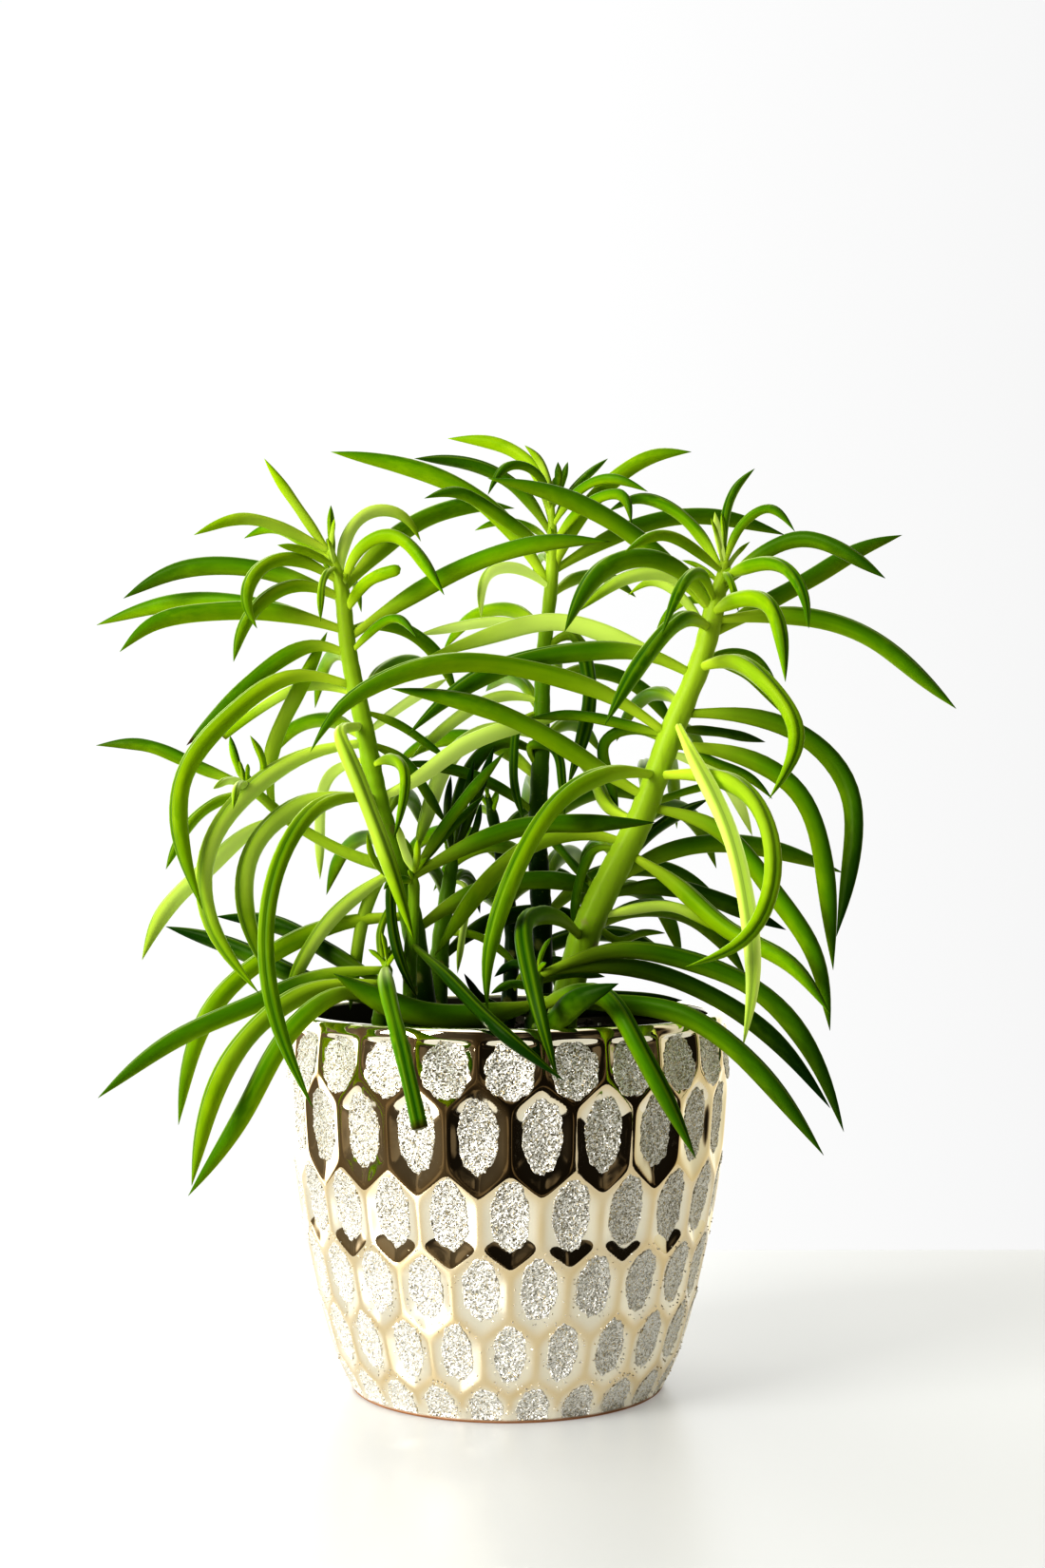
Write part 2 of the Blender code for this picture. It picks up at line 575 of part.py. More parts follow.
def limb_mesh(limb, buried):
    """A round tapered tube along the limb. A buried one goes on straight down to its foot in the soil."""
    line = true_place(smooth_path(limb["route"], np.linspace(0, 1, 2 * len(limb["route"]))))
    radii = np.linspace(*limb["radii"], len(line))
    if buried:
        foot = line[0] * (1, 1, 0) + (0, 0, SOIL_UP - STEM_DEEP)
        collar = line[0] * (1, 1, 0) + (0, 0, SOIL_UP + SOIL_WAVE)
        line = np.vstack([foot, collar, line])
        radii = np.concatenate([[radii[0], radii[0]], radii])
    ahead = np.gradient(line, axis=0)
    if buried:
        ahead[:2] = (0, 0, 1)
    ahead /= np.linalg.norm(ahead, axis=1)[:, None]
    across = np.cross(ahead, (0, 1, 0))
    across /= np.linalg.norm(across, axis=1)[:, None]
    side = np.cross(across, ahead)
    angles = np.arange(STEM_SIDES) * 2 * np.pi / STEM_SIDES
    circle = np.cos(angles)[None, :, None] * across[:, None] + np.sin(angles)[None, :, None] * side[:, None]
    return tube(line[:, None] + circle * radii[:, None, None])


def fuse(base, pieces):
    """One Boolean union of the base with a collection of pieces, applied, and the pieces then removed."""
    gathered = bpy.data.collections.new(base.name + "_pieces")
    bpy.context.scene.collection.children.link(gathered)
    for piece in pieces:
        bpy.context.scene.collection.objects.unlink(piece)
        gathered.objects.link(piece)
    union = base.modifiers.new("leaves", "BOOLEAN")
    union.operation = "UNION"
    union.solver = "MANIFOLD"
    union.operand_type = "COLLECTION"
    union.collection = gathered
    apply_modifiers(base)
    for piece in list(gathered.objects):
        bpy.data.objects.remove(piece)
    bpy.data.collections.remove(gathered)


def apply_modifiers(thing):
    graph = bpy.context.evaluated_depsgraph_get()
    applied = bpy.data.meshes.new_from_object(thing.evaluated_get(graph))
    thing.modifiers.clear()
    thing.data = applied


def leafy_stem(name, stem, leaves, skin):
    """A stem with its side branch and every leaf, fused into one body."""
    base = new_object(name, limb_mesh(stem, buried=True))
    pieces = [new_object(f"{name}_leaf", leaf_mesh(points)) for points in leaves]
    if "branch" in stem:
        pieces.append(new_object(f"{name}_branch", limb_mesh(stem["branch"], buried=False)))
    fuse(base, pieces)
    base.data.materials.clear()
    base.data.materials.append(skin)
    return base


def outline_radius(up):
    heights, radii = np.array(POT_OUTLINE).T
    rows = smooth_path(np.column_stack([heights, radii]), np.linspace(0, 1, OUTLINE_SAMPLES))
    return np.interp(up, rows[:, 0], rows[:, 1])


def inner_radius(up):
    """Radius of the inner wall, which is straight between its own few heights."""
    return np.interp(up, INNER_HEIGHTS, outline_radius(np.array(INNER_HEIGHTS)) - POT_WALL)


def row_heights():
    """Heights of the cell rows and of the zigzags between them: each step grows with the pot's radius."""
    fine = np.linspace(0, POT_HEIGHT, ROW_SAMPLES)
    radius = outline_radius(fine)
    run = np.concatenate([[0], np.cumsum(np.hypot(np.diff(fine), np.diff(radius)) / radius[1:])])
    middle = np.interp(MIDDLE_ROW_UP, fine, run)
    return lambda rows_up: np.interp(middle + rows_up * ROW_PITCH_RATIO, run, fine)


def pot_ring(bm, radius, up, turn=0.0):
    count = 2 * CELLS_AROUND
    radius = np.broadcast_to(radius, count)
    up = np.broadcast_to(up, count)
    angles = FIRST_CELL_TURN - np.pi / 2 + (np.arange(count) + turn) * np.pi / CELLS_AROUND
    places = np.column_stack([radius * np.cos(angles), radius * np.sin(angles), up])
    return [bm.verts.new(place * MM) for place in places]


def bridge(bm, below, above):
    """One quad for each step between two rings of the same count."""
    below_next, above_next = below[1:] + below[:1], above[1:] + above[:1]
    return [bm.faces.new(corners) for corners in zip(below, below_next, above_next, above)]


def pot_object(glaze):
    """The pot: foot, honeycomb wall with a sunk dimple in each cell, rim band, lip, inner wall and floor."""
    bm = bmesh.new()
    height_of = row_heights()
    even = np.arange(2 * CELLS_AROUND) % 2 == 0
    foot = pot_ring(bm, outline_radius(0.0) - FOOT_ROUND, 0.0)
    zigzags = [pot_ring(bm, outline_radius(FOOT_EDGE), FOOT_EDGE)]
    for row in range(-2, 3):
        points_up = even if row % 2 == 0 else ~even
        heights = height_of(row - 0.5 + np.where(points_up, -POINT_SHARE, POINT_SHARE))
        zigzags.append(pot_ring(bm, outline_radius(heights), heights))
    zigzags.append(pot_ring(bm, outline_radius(BAND_BOTTOM), BAND_BOTTOM))
    cells = []
    for row, (below, above) in enumerate(zip(zigzags, zigzags[1:])):
        first = 1 if row % 2 == 0 else 0
        for k in range(first, 2 * CELLS_AROUND, 2):
            left, right = (k - 1) % (2 * CELLS_AROUND), (k + 1) % (2 * CELLS_AROUND)
            corners = (below[left], below[k], below[right], above[right], above[k], above[left])
            cells.append(bm.faces.new(corners))
    lip_out = pot_ring(bm, outline_radius(POT_HEIGHT - LIP_ROUND), POT_HEIGHT - LIP_ROUND)
    lip_top_out = pot_ring(bm, outline_radius(POT_HEIGHT) - LIP_CUT, POT_HEIGHT)
    lip_top_in = pot_ring(bm, outline_radius(POT_HEIGHT) - POT_WALL + 3 * LIP_CUT, POT_HEIGHT)
    inner = [pot_ring(bm, inner_radius(up), up) for up in reversed(INNER_HEIGHTS)]
    centre = bm.verts.new((0, 0, INNER_HEIGHTS[0] * MM))
    under = bm.verts.new((0, 0, 0))
    bridge(bm, foot, zigzags[0])
    top = [zigzags[-1], lip_out, lip_top_out, lip_top_in, *inner]
    for below, above in zip(top, top[1:]):
        bridge(bm, below, above)
    for i in range(2 * CELLS_AROUND):
        j = (i + 1) % (2 * CELLS_AROUND)
        bm.faces.new((inner[-1][i], inner[-1][j], centre))
        bm.faces.new((foot[j], foot[i], under))
    bmesh.ops.recalc_face_normals(bm, faces=bm.faces)
    edge_depth = DIMPLE_EDGE_SHARE * DIMPLE_DEPTH
    bmesh.ops.inset_individual(bm, faces=cells, thickness=RIDGE_HALF_WIDTH * MM, depth=-edge_depth * MM)
    bmesh.ops.poke(bm, faces=cells, offset=(edge_depth - DIMPLE_DEPTH) * MM)
    pot = new_object("pot", bm)
    pot.data.materials.append(glaze)
    return pot


def soil_object(stems, earth):
    """The soil: a plug 0.3 mm clear of the pot with a gently waved top, and a plain hole for each stem."""
    bm = bmesh.new()
    count = 2 * CELLS_AROUND
    bottom = INNER_HEIGHTS[0] + TOUCH_GAP
    sides = [pot_ring(bm, inner_radius(up) - TOUCH_GAP, up) for up in (bottom, *INNER_HEIGHTS[1:-1])]
    angles = FIRST_CELL_TURN - np.pi / 2 + np.arange(count) * np.pi / CELLS_AROUND
    top = []
    for share in SOIL_RINGS:
        wave = SOIL_WAVE * np.sin(WAVES_AROUND * angles + 4 * share) * np.sin(7 * share + 1)
        top.append(pot_ring(bm, share * (inner_radius(SOIL_UP) - 2 * TOUCH_GAP), SOIL_UP + wave))
    rings = sides + top
    for below, above in zip(rings, rings[1:]):
        bridge(bm, below, above)
    centre = bm.verts.new((0, 0, SOIL_UP * MM))
    under = bm.verts.new((0, 0, bottom * MM))
    for i in range(count):
        j = (i + 1) % count
        bm.faces.new((top[-1][i], top[-1][j], centre))
        bm.faces.new((sides[0][j], sides[0][i], under))
    bmesh.ops.recalc_face_normals(bm, faces=bm.faces)
    soil = new_object("soil", bm)
    for name, stem in stems.items():
        foot = true_place([stem["route"][0]])[0]
        cut = bmesh.new()
        radius = stem["radii"][0] / np.cos(np.pi / STEM_SIDES) + TOUCH_GAP
        depth = STEM_DEEP + TOUCH_GAP
        bmesh.ops.create_cone(
            cut, segments=HOLE_SIDES, cap_ends=True,
            radius1=radius * MM, radius2=radius * MM, depth=2 * depth * MM
        )
        hole = new_object(f"{name}_hole", cut)
        hole.location = (foot[0] * MM, foot[1] * MM, SOIL_UP * MM)
        hole.hide_render = True
        hole.display_type = "WIRE"
        bore = soil.modifiers.new(f"{name}_hole", "BOOLEAN")
        bore.operation = "DIFFERENCE"
        bore.object = hole
    soil.data.materials.append(earth)
    return soil


def main():
    for thing in list(bpy.data.objects):
        bpy.data.objects.remove(thing)
    glaze = material("gold_glaze", (0.56, 0.48, 0.33), 0.12, 0.9)
    earth = material("dark_soil", (0.035, 0.024, 0.016), 0.95)
    greens = [
        material("stem_and_leaf_green", (0.12, 0.30, 0.02), 0.3),
        material("shaded_leaf_green", (0.05, 0.17, 0.02), 0.35),
    ]
    leaves = grow()
    pot_object(glaze)
    for name, stem in LEAFY_STEMS.items():
        shaded = name in ("inner_stem", "rear_shoot")
        leafy_stem(name, stem, leaves[name], greens[1 if shaded else 0])
    soil_object(LEAFY_STEMS, earth)


main()
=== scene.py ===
"""Looks for a potted peperomia: a gold pot with silver glitter in its dimples, soil and leafy stems.

Metres, +Z up, table at z = 0, front towards -Y. Routes of stems and leaves are in millimetres as the front
view shows them on the plane through the pot's axis: across, up and, where it is given, the depth behind that
plane. A depth moves a point along the line of sight, so it keeps its place in the front view. The rules for
depths and for the leaves that the front view hides are the part's own, so that each leaf lies where its
solid does.
"""

import json
import logging
import math
from collections.abc import Callable, Iterator
from dataclasses import dataclass, field
from enum import Enum

import bpy
import numpy as np
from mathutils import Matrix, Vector

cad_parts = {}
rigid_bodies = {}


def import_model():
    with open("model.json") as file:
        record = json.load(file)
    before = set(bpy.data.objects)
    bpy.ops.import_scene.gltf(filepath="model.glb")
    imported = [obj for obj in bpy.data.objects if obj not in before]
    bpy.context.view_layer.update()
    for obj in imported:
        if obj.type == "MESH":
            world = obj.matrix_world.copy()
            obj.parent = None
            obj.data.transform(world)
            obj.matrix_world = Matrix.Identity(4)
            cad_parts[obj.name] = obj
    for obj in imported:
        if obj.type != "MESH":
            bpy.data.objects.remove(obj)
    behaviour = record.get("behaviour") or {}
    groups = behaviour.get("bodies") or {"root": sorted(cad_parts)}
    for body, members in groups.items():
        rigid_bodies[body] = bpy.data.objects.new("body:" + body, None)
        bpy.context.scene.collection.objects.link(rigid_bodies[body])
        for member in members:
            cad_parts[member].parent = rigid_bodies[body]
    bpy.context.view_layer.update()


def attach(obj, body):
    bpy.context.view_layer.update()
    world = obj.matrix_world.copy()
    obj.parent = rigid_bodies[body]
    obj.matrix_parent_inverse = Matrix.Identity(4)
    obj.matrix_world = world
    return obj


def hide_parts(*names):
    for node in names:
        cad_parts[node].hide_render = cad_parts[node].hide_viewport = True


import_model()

log = logging.getLogger("potted_peperomia")

Array = np.ndarray
Band = tuple[float, float]
Triple = tuple[float, float, float]
Colour = Triple
Points = tuple[tuple[float, ...], ...]

MM = 0.001
FULL_TURN = 2 * math.pi
GOLDEN_ANGLE = math.radians(137.5)
UP = np.array([0.0, 0.0, 1.0])
WHITE = (1.0, 1.0, 1.0)


class Slot(Enum):
    """The record's material slots."""

    GLAZE = "pot_glaze"
    SOIL = "soil"
    FOLIAGE = "foliage"


class Ending(Enum):
    """How a leaf ends."""

    POINTED = "pointed"
    ROUNDED = "rounded"
    CUT = "cut"
    WITHERED = "withered"


@dataclass(frozen=True)
class LeafLook:
    """How a leaf differs from a plain one: its tone, negative where darker, which holds painted light and
    painted shade as well as the leaf's own lightness, its ending and its girth.
    """

    tone: float = 0.0
    ending: Ending = Ending.POINTED
    girth: float = 1.0


# The tones of these looks are set leaf by leaf as painted light and painted shade; the highest also make the
# leaf give off painted light
PLAIN = LeafLook()
DIM = LeafLook(-0.35)
DARK = LeafLook(-0.7)
DEEP = LeafLook(-1.4)
LIGHT = LeafLook(0.6)
PALE = LeafLook(1.1)
BRIGHT = LeafLook(1.7)
GLOWING = LeafLook(2.4)
RADIANT = LeafLook(3.4)
STUMP = LeafLook(1.0, Ending.ROUNDED, 1.5)
SNIPPED = LeafLook(0.4, Ending.CUT)
SNIPPED_PALE = LeafLook(1.5, Ending.CUT, 0.8)
BROWN_TIP = LeafLook(-0.35, Ending.WITHERED)
BROWN_TIP_PALE = LeafLook(2.0, Ending.WITHERED)
BROAD = LeafLook(-0.6, Ending.POINTED, 1.7)
BROAD_DEEP = LeafLook(0.3, Ending.POINTED, 1.5)
SLIM_DARK = LeafLook(-1.4, Ending.POINTED, 0.78)


@dataclass(frozen=True)
class Limb:
    """A stem or side branch: its radii at foot and tip, its route and the routes of its leaves, in mm."""

    radii: tuple[float, float]
    route: Points
    leaves: tuple[Points, ...]

    @classmethod
    def drawn(cls, radii: tuple[float, float], text: str) -> "Limb":
        """A limb from its radii and a text of routes: the limb's own, then one for each leaf, root first.

        Args:
            radii: the radii at foot and tip.
            text: spaces part the numbers of a point, commas part points and semicolons part routes.

        Returns:
            The limb.
        """
        own, *leaves = (tuple(tuple(map(float, point.split())) for point in route.split(","))
                        for route in text.split(";"))
        return cls(radii, own, tuple(leaves))


@dataclass(frozen=True)
class StemPlan:
    """A leafy stem: its limb, any side branch, the leaves that the front hides and the looks of some leaves.

    The looks say which leaves have each look, by number from nought, the limb's before the branch's. The
    shade, painted shade where it is below nought and painted light above it, is added to the tone of every
    leaf. The stem's own tones, painted light and painted shade along the stem, are those at its foot, at a
    third of its length and at its tip.
    """

    limb: Limb
    looks: dict[LeafLook, tuple[int, ...]]
    stem_tones: Triple
    branch: Limb | None = None
    hidden_leaves: int = 0
    hidden_spread: float = 0.0
    shade: float = 0.0

    @property
    def limbs(self) -> list[Limb]:
        """The limb, then its side branch if it has one."""
        return [self.limb] if self.branch is None else [self.limb, self.branch]

    def look(self, number: int) -> LeafLook:
        """The look of the leaf with this number."""
        return next((look for look, numbers in self.looks.items() if number in numbers), PLAIN)


STEM_PLANS = {
    "left_stem": StemPlan(
        limb=Limb.drawn((3.4, 2.0), """
            -24 107 -12, -28 133 -13, -32 150 -14, -38 170 -15, -43 195 -16, -48 220 -17, -50 237 -18,
            -53 247 -19; -54 244, -66 265, -73 275 -22; -52 245, -53 253, -53 261 -16; -54 246, -65 253,
            -80 257, -94 252 -32; -55 244, -63 251, -72 254, -79 251 0; -54 241, -63 248, -69 249 -30;
            -54 232, -67 240, -87 243, -100 241, -115 233 -8; -53 238, -65 245, -75 241 -34, -78 231 -40,
            -75 224 -42; -51 222, -83 232, -104 231, -123 225 8; -51 222, -70 229, -90 229, -107 225,
            -116 217 -38; -51 232, -62 237, -71 234, -80 222, -82 214 -46; -52 243, -55 239 -28, -56 232 -34,
            -56 226 -36; -50 237, -49 249, -41 259, -32 258, -26 250 -4; -49 235, -43 249, -35 252, -26 245,
            -19 234 -32; -48 236, -37 249, -20 259, -8 261, 2 260 24; -49 229, -42 238, -32 242 -28; -46 222,
            -27 235, -1 247, 14 250, 31 250 -22; -45 216, -41 223, -33 227, -27 221 -34; -47 217, -57 219,
            -68 215, -84 201, -96 189 -22; -47 206, -63 210, -82 199, -97 179, -97 158, -91 140 -48; -47 204,
            -58 207, -71 202, -85 192 4; -43 189, -58 187, -74 178, -89 158, -89 138, -74 115 -50; -40 172,
            -60 172, -76 158, -78 140, -69 117 -38; -40 173, -56 171 -36, -68 154 -50, -72 132 -56,
            -68 105 -60, -58 81 -62; -42 185, -52 181, -56 165, -56 149 2; -43 195, -50 193 -28, -48 186 -36,
            -40 166 -42, -32 143 -44, -28 131 -44; -42 183, -35 185 -26, -31 181 -36, -34 161 -40; -42 193,
            -30 202, -18 209 6; -32 153, -50 140, -62 123, -67 111 -26; -33 154, -40 146, -45 128,
            -47 110 -16; -33 155, -35 143 -26, -31 122 -32, -27 114 -33; -31 148, -40 155, -42 163 -28;
            -39 173, -29 178, -15 188, 0 194, 16 197 0; -29 138, -50 136, -72 126, -88 111, -95 94,
            -98 76 -32; -43 199, -34 196, -26 191, -18 185 2; -41 191, -32 185, -25 176, -18 165 8"""),
        branch=Limb.drawn((1.9, 1.3), """
            -32 152 -14, -43 155 -16, -58 162 -18, -67 168 -19, -74 174 -20, -79 178 -21; -79 177, -93 183,
            -108 189, -123 189 -14; -78 177, -81 184, -83 192 -18; -75 175, -73 182, -77 192 -32; -77 175,
            -87 172, -96 164, -102 152 -40; -79 177, -85 178 -38, -88 176 -44; -77 176, -81 176 -38,
            -82 170 -44; -70 171, -71 185, -64 203, -54 223 -2; -66 167, -74 165, -88 154, -104 137,
            -109 125 -50"""),
        looks={PALE: (0, 2, 10, 18, 22, 32, 38), LIGHT: (1, 4, 6, 9, 25, 36, 37), DEEP: (5, 29),
               DIM: (7, 15, 16, 34), BRIGHT: (11, 20, 21, 24, 28, 30, 40, 41), STUMP: (14,),
               BROWN_TIP: (17,), SNIPPED_PALE: (19,), GLOWING: (23, 26, 27, 31, 39, 42), DARK: (35,)},
        stem_tones=(-1.5, 0.2, 1.0),
        hidden_leaves=10,
        hidden_spread=55.0,
    ),
    "back_stem": StemPlan(
        limb=Limb.drawn((3.4, 1.6), """
            10 108 16, 10 139 16, 9 160 15, 10 190 14, 11 219 13, 13 237 12, 13 262 11; 12 236, 4 250,
            -9 263, -25 271, -53 277 4; 13 253, 8 272, -2 279, -18 281 26; 13 251, 3 266, -10 273,
            -28 275 14; 12 246, -7 261, -16 265, -25 263 -10; 13 260, 8 271, 1 273, -6 264 -6; 13 262, 9 275,
            5 279 16; 13 262, 15 268, 15 274 9; 13 260, 16 267, 18 274 20; 13 253, 20 266, 30 275 26; 13 241,
            21 257, 32 269, 44 276, 55 277 0; 13 253, 21 265, 30 269, 42 265 -8; 13 250, 27 263, 34 264,
            37 255 -14; 13 240, 28 250, 47 257, 66 257, 83 252 36; 12 236, 3 242, -5 241, -8 227 -16; 11 217,
            19 222, 23 215, 22 190, 18 177 -6; 10 203, 0 204, -14 198, -29 185 -2; 9 167, 0 175, -10 180,
            -22 183, -32 184 6; 11 222, 0 226, -13 225, -27 222 10; 10 199, 4 196, 2 188, 2 178, 5 166 4;
            10 182, 7 189, 12 189, 16 180, 17 168 -4; 10 186, -2 190, -10 184, -15 172, -18 157 6; 10 192,
            -4 194, -16 187, -23 172, -28 156 0"""),
        looks={LIGHT: (1, 9), DEEP: (2, 6, 14, 20), DARK: (3, 4, 10, 11, 12, 16, 18, 19), PALE: (5,),
               RADIANT: (13,), BRIGHT: (15, 21), GLOWING: (17,)},
        stem_tones=(-2.2, -1.5, 1.6),
        hidden_leaves=14,
        hidden_spread=60.0,
    ),
    "right_stem": StemPlan(
        limb=Limb.drawn((4.6, 2.6), """
            16 107 -4, 24 135 -5, 32 152 -6, 40 168 -7, 49 193 -8, 58 215 -9, 62 231 -10, 65 243 -10; 62 229,
            47 244, 30 257, 12 265, -6 269 -22; 65 241, 65 256, 69 267, 74 272 0; 64 242, 63 251, 62 259 -14;
            65 242, 70 255, 78 260, 86 253 -18; 64 236, 77 247, 88 251, 101 247, 113 239 -34; 60 222, 74 230,
            92 240, 106 248, 118 252 8; 61 226, 76 228, 93 227, 109 221, 123 210, 134 200 -16; 62 229,
            70 233 -30, 78 231 -42, 82 219 -48, 83 208 -50; 64 237, 73 243 -26, 83 242 -38, 89 232 -44,
            90 224 -45; 64 240, 67 237 -24, 69 229 -32; 64 241, 59 250, 49 260, 39 263, 30 259 -4; 63 240,
            54 249, 45 252, 35 247 -36; 62 229, 54 239, 43 245, 29 242, 17 223 -46; 61 228, 48 240, 38 240,
            21 229 -20; 60 222, 49 236, 43 238, 36 234 6; 62 231, 58 240 -22, 53 238 -34, 46 222 -40; 60 225,
            53 227 -26, 44 219 -40, 35 206 -50, 29 195 -54; 56 210, 43 216, 20 217, 0 213, -18 203,
            -30 192 -24; 56 211, 35 220, 15 226, -5 222, -25 215 0; 48 191, 34 202, 10 211, -16 214, -36 209,
            -52 198, -59 187 -50; 42 173, 26 183, 8 194, -12 202, -35 206 -36; 48 191, 32 196, 19 198,
            6 197 -8; 44 180, 32 181 -24, 16 173 -38, 6 159 -46, -2 140 -50, -6 123 -51, -6 109 -50; 58 213,
            68 214 -26, 78 207 -38, 86 193 -46, 78 173 -52; 58 215, 68 212, 77 205, 84 197 2; 51 198, 71 198,
            90 191, 102 176, 103 157, 98 132 -28; 48 189, 70 186, 87 175, 94 157, 96 140, 97 122 -8; 41 171,
            63 164, 79 146, 91 128, 96 104 -24; 50 196, 56 184 -26, 66 163 -42, 71 143 -50, 73 118 -54,
            70 99 -54; 45 180, 60 180 -24, 73 173 -40, 79 155 -50, 70 131 -56, 53 123 -58; 34 157, 51 147,
            66 134, 84 124, 96 109 -36; 25 137, 36 140, 49 141, 65 132 -12; 28 145, 42 147, 60 144,
            83 134 16; 29 148, 44 156, 63 160, 83 157, 100 151 26; 32 152, 43 163, 60 173 20; 41 172, 52 175,
            64 178 8; 49 192, 62 184, 73 179, 79 173 2; 49 194, 64 193, 77 190 14; 47 187, 62 181, 73 162 12;
            22 131, 14 138 -24, 6 137 -40, 6 124 -58, 11 104 -70, 15 89 -72; 35 159, 20 163, 8 160, -3 152,
            -13 140, -22 126 -22; 28 145, 20 153, 14 160, 8 166 10; 34 157, 26 158, 22 151, 20 141, 20 131 0;
            48 190, 37 194, 29 190, 30 180, 33 168 6; 39 167, 31 170, 26 179, 18 188, 8 190 12; 25 137,
            33 131, 40 133, 47 133 10"""),
        looks={DARK: (0, 5, 17, 21, 24, 32, 34, 36, 41, 43), DIM: (1, 3, 6, 12, 15, 26, 27, 42),
               GLOWING: (2, 31, 38), DEEP: (4, 25, 37), LIGHT: (7, 9, 11, 19, 20, 22, 30, 35),
               BRIGHT: (13, 14, 18, 29, 40, 44), PALE: (23,), RADIANT: (28,), BROWN_TIP_PALE: (45,)},
        stem_tones=(0.2, 0.6, 0.9),
        hidden_leaves=11,
        hidden_spread=55.0,
    ),
    "inner_stem": StemPlan(
        limb=Limb.drawn((3.2, 1.8), """
            -21 107 10, -20 130 11, -18 145 12, -16 157 13; -15 155, -18 168, -17 180 8; -15 156, -13 171,
            -10 185 14; -15 156, -9 174, -4 189 22; -15 154, -10 163, -8 172 2; -19 138, -11 144, -3 150,
            10 162 4; -20 133, -12 133, -2 128, 4 122 4; -18 149, -14 148, -13 136, -15 121 6"""),
        looks={DARK: (0, 1, 2, 3), GLOWING: (5,), RADIANT: (6,)},
        stem_tones=(-1.0, -0.5, -0.3),
        hidden_leaves=2,
        hidden_spread=60.0,
        shade=-0.7,
    ),
    "star_shoot": StemPlan(
        limb=Limb.drawn((2.2, 1.5), """
            -29 106 -27, -29 125 -28, -28 141 -29, -28 151 -30; -28 150, -20 155, -8 161, 5 165, 22 166,
            44 166 -30; -28 151, -20 161, -7 174 -20; -28 151, -31 158, -33 166 -34; -28 151, -27 156 -40,
            -27 161 -46; -28 148, -34 149 -42, -37 146 -50; -28 130, -16 118 -50, -1 103 -70, 17 89 -74;
            -28 151, -21 162, -12 174, -1 187 -8"""),
        looks={DIM: (0, 6), DARK: (1,), GLOWING: (2,), BRIGHT: (3,), SLIM_DARK: (5,)},
        stem_tones=(-1.2, -0.4, 0.5),
    ),
    "left_shoot": StemPlan(
        limb=Limb.drawn((2.6, 1.6), """
            -38 105 -24, -37 114 -25, -36 124 -26; -36 122, -36 116 -52, -31 96 -68, -26 75 -72; -37 122,
            -52 121, -76 112, -100 101, -122 84 -38; -37 118, -55 117, -73 107, -86 89, -94 58 -56; -37 112,
            -50 115 -38, -64 105 -44, -77 83 -47, -95 55 -48; -37 112, -62 120, -82 129, -102 135 14;
            -37 118, -54 128, -70 136, -87 138 26; -37 114, -56 116, -66 114, -73 105 -16; -36 121, -38 133,
            -33 144 -38; -37 109, -27 111, -15 109, -3 107 -6"""),
        looks={SNIPPED: (0,), BRIGHT: (2,), LIGHT: (3,), DEEP: (4, 5, 8), PALE: (7,)},
        stem_tones=(-0.6, -0.1, 0.4),
        shade=0.5,
    ),
    "front_shoot": StemPlan(
        limb=Limb.drawn((2.6, 1.6), """
            8 105 -26, 8 112 -26, 9 122 -26; 9 120, 32 128, 54 125, 76 115, 91 97, 100 74 -34; 9 121, 36 123,
            58 116, 80 101, 96 81 -12; 9 113, 36 112 -42, 52 109 -50, 73 94 -55, 94 67 -58; 9 110,
            19 115 -44, 29 114 -55, 38 101 -64, 47 84 -67, 56 66 -69; 8 105, 14 105.5 -50, 20 112 -63,
            33 118 -72; 9 118, 18 121, 29 120 -10; 9 114, 30 114, 52 113 2; 8 112, -7 109 -34, -28 110 -37,
            -52 121 -36; 8 107, 22 110, 38 110, 58 108 -12; 8 108, -2 111, -12 110, -22 107 -14; 9 116,
            2 118, -5 115 -34; 9 119, 3 124, -4 120 -12"""),
        looks={DIM: (0, 2), DARK: (1,), BROAD: (4,), DEEP: (6, 8, 9, 11), BROAD_DEEP: (7,), LIGHT: (10,)},
        stem_tones=(-1.2, -0.9, -0.4),
    ),
    "rear_shoot": StemPlan(
        limb=Limb.drawn((2.4, 1.6), """
            0 108 34, 1 122 34, 1 136 35, -1 150 36, -3 161 37, -6 174 38; 0 110, -8 114, -13 121 20; 1 114,
            6 122, 14 125, 24 122 16"""),
        looks={BRIGHT: (1,)},
        stem_tones=(-2.0, -1.7, -1.2),
        hidden_leaves=8,
        hidden_spread=60.0,
        shade=-0.5,
    ),
}


def smooth_path(points: Array, shares: Array) -> Array:
    """Natural cubic spline through points, where the bends at the two ends are nought.

    Args:
        points: one row for each point.
        shares: where to read the curve, from 0 to 1 of the length of its chords.

    Returns:
        One row for each share.
    """
    points = np.asarray(points, float)
    knots = np.concatenate([[0.0], np.cumsum(np.linalg.norm(np.diff(points, axis=0), axis=1))])
    knots /= knots[-1]
    gaps = np.diff(knots)
    slopes = np.diff(points, axis=0) / gaps[:, None]
    matrix = np.eye(len(points))
    right = np.zeros_like(points)
    inner = np.arange(1, len(points) - 1)
    matrix[inner, inner - 1] = gaps[:-1]
    matrix[inner, inner] = 2 * (gaps[:-1] + gaps[1:])
    matrix[inner, inner + 1] = gaps[1:]
    right[inner] = 6 * np.diff(slopes, axis=0)
    bends = np.linalg.solve(matrix, right)
    span = np.clip(np.searchsorted(knots, shares, side="right") - 1, 0, len(gaps) - 1)
    gap = gaps[span][:, None]
    after = (shares - knots[span])[:, None]
    before = gap - after
    start, end = bends[span], bends[span + 1]
    curved = (start * before**3 + end * after**3) / (6 * gap)
    straight_start = (points[span] / gap - start * gap / 6) * before
    straight_end = (points[span + 1] / gap - end * gap / 6) * after
    return curved + straight_start + straight_end


def smooth_step(low: float, high: float, value: Array) -> Array:
    """0 up to low, 1 from high, and 3t^2 - 2t^3 between them."""
    share = np.clip((value - low) / (high - low), 0.0, 1.0)
    return share * share * (3 - 2 * share)


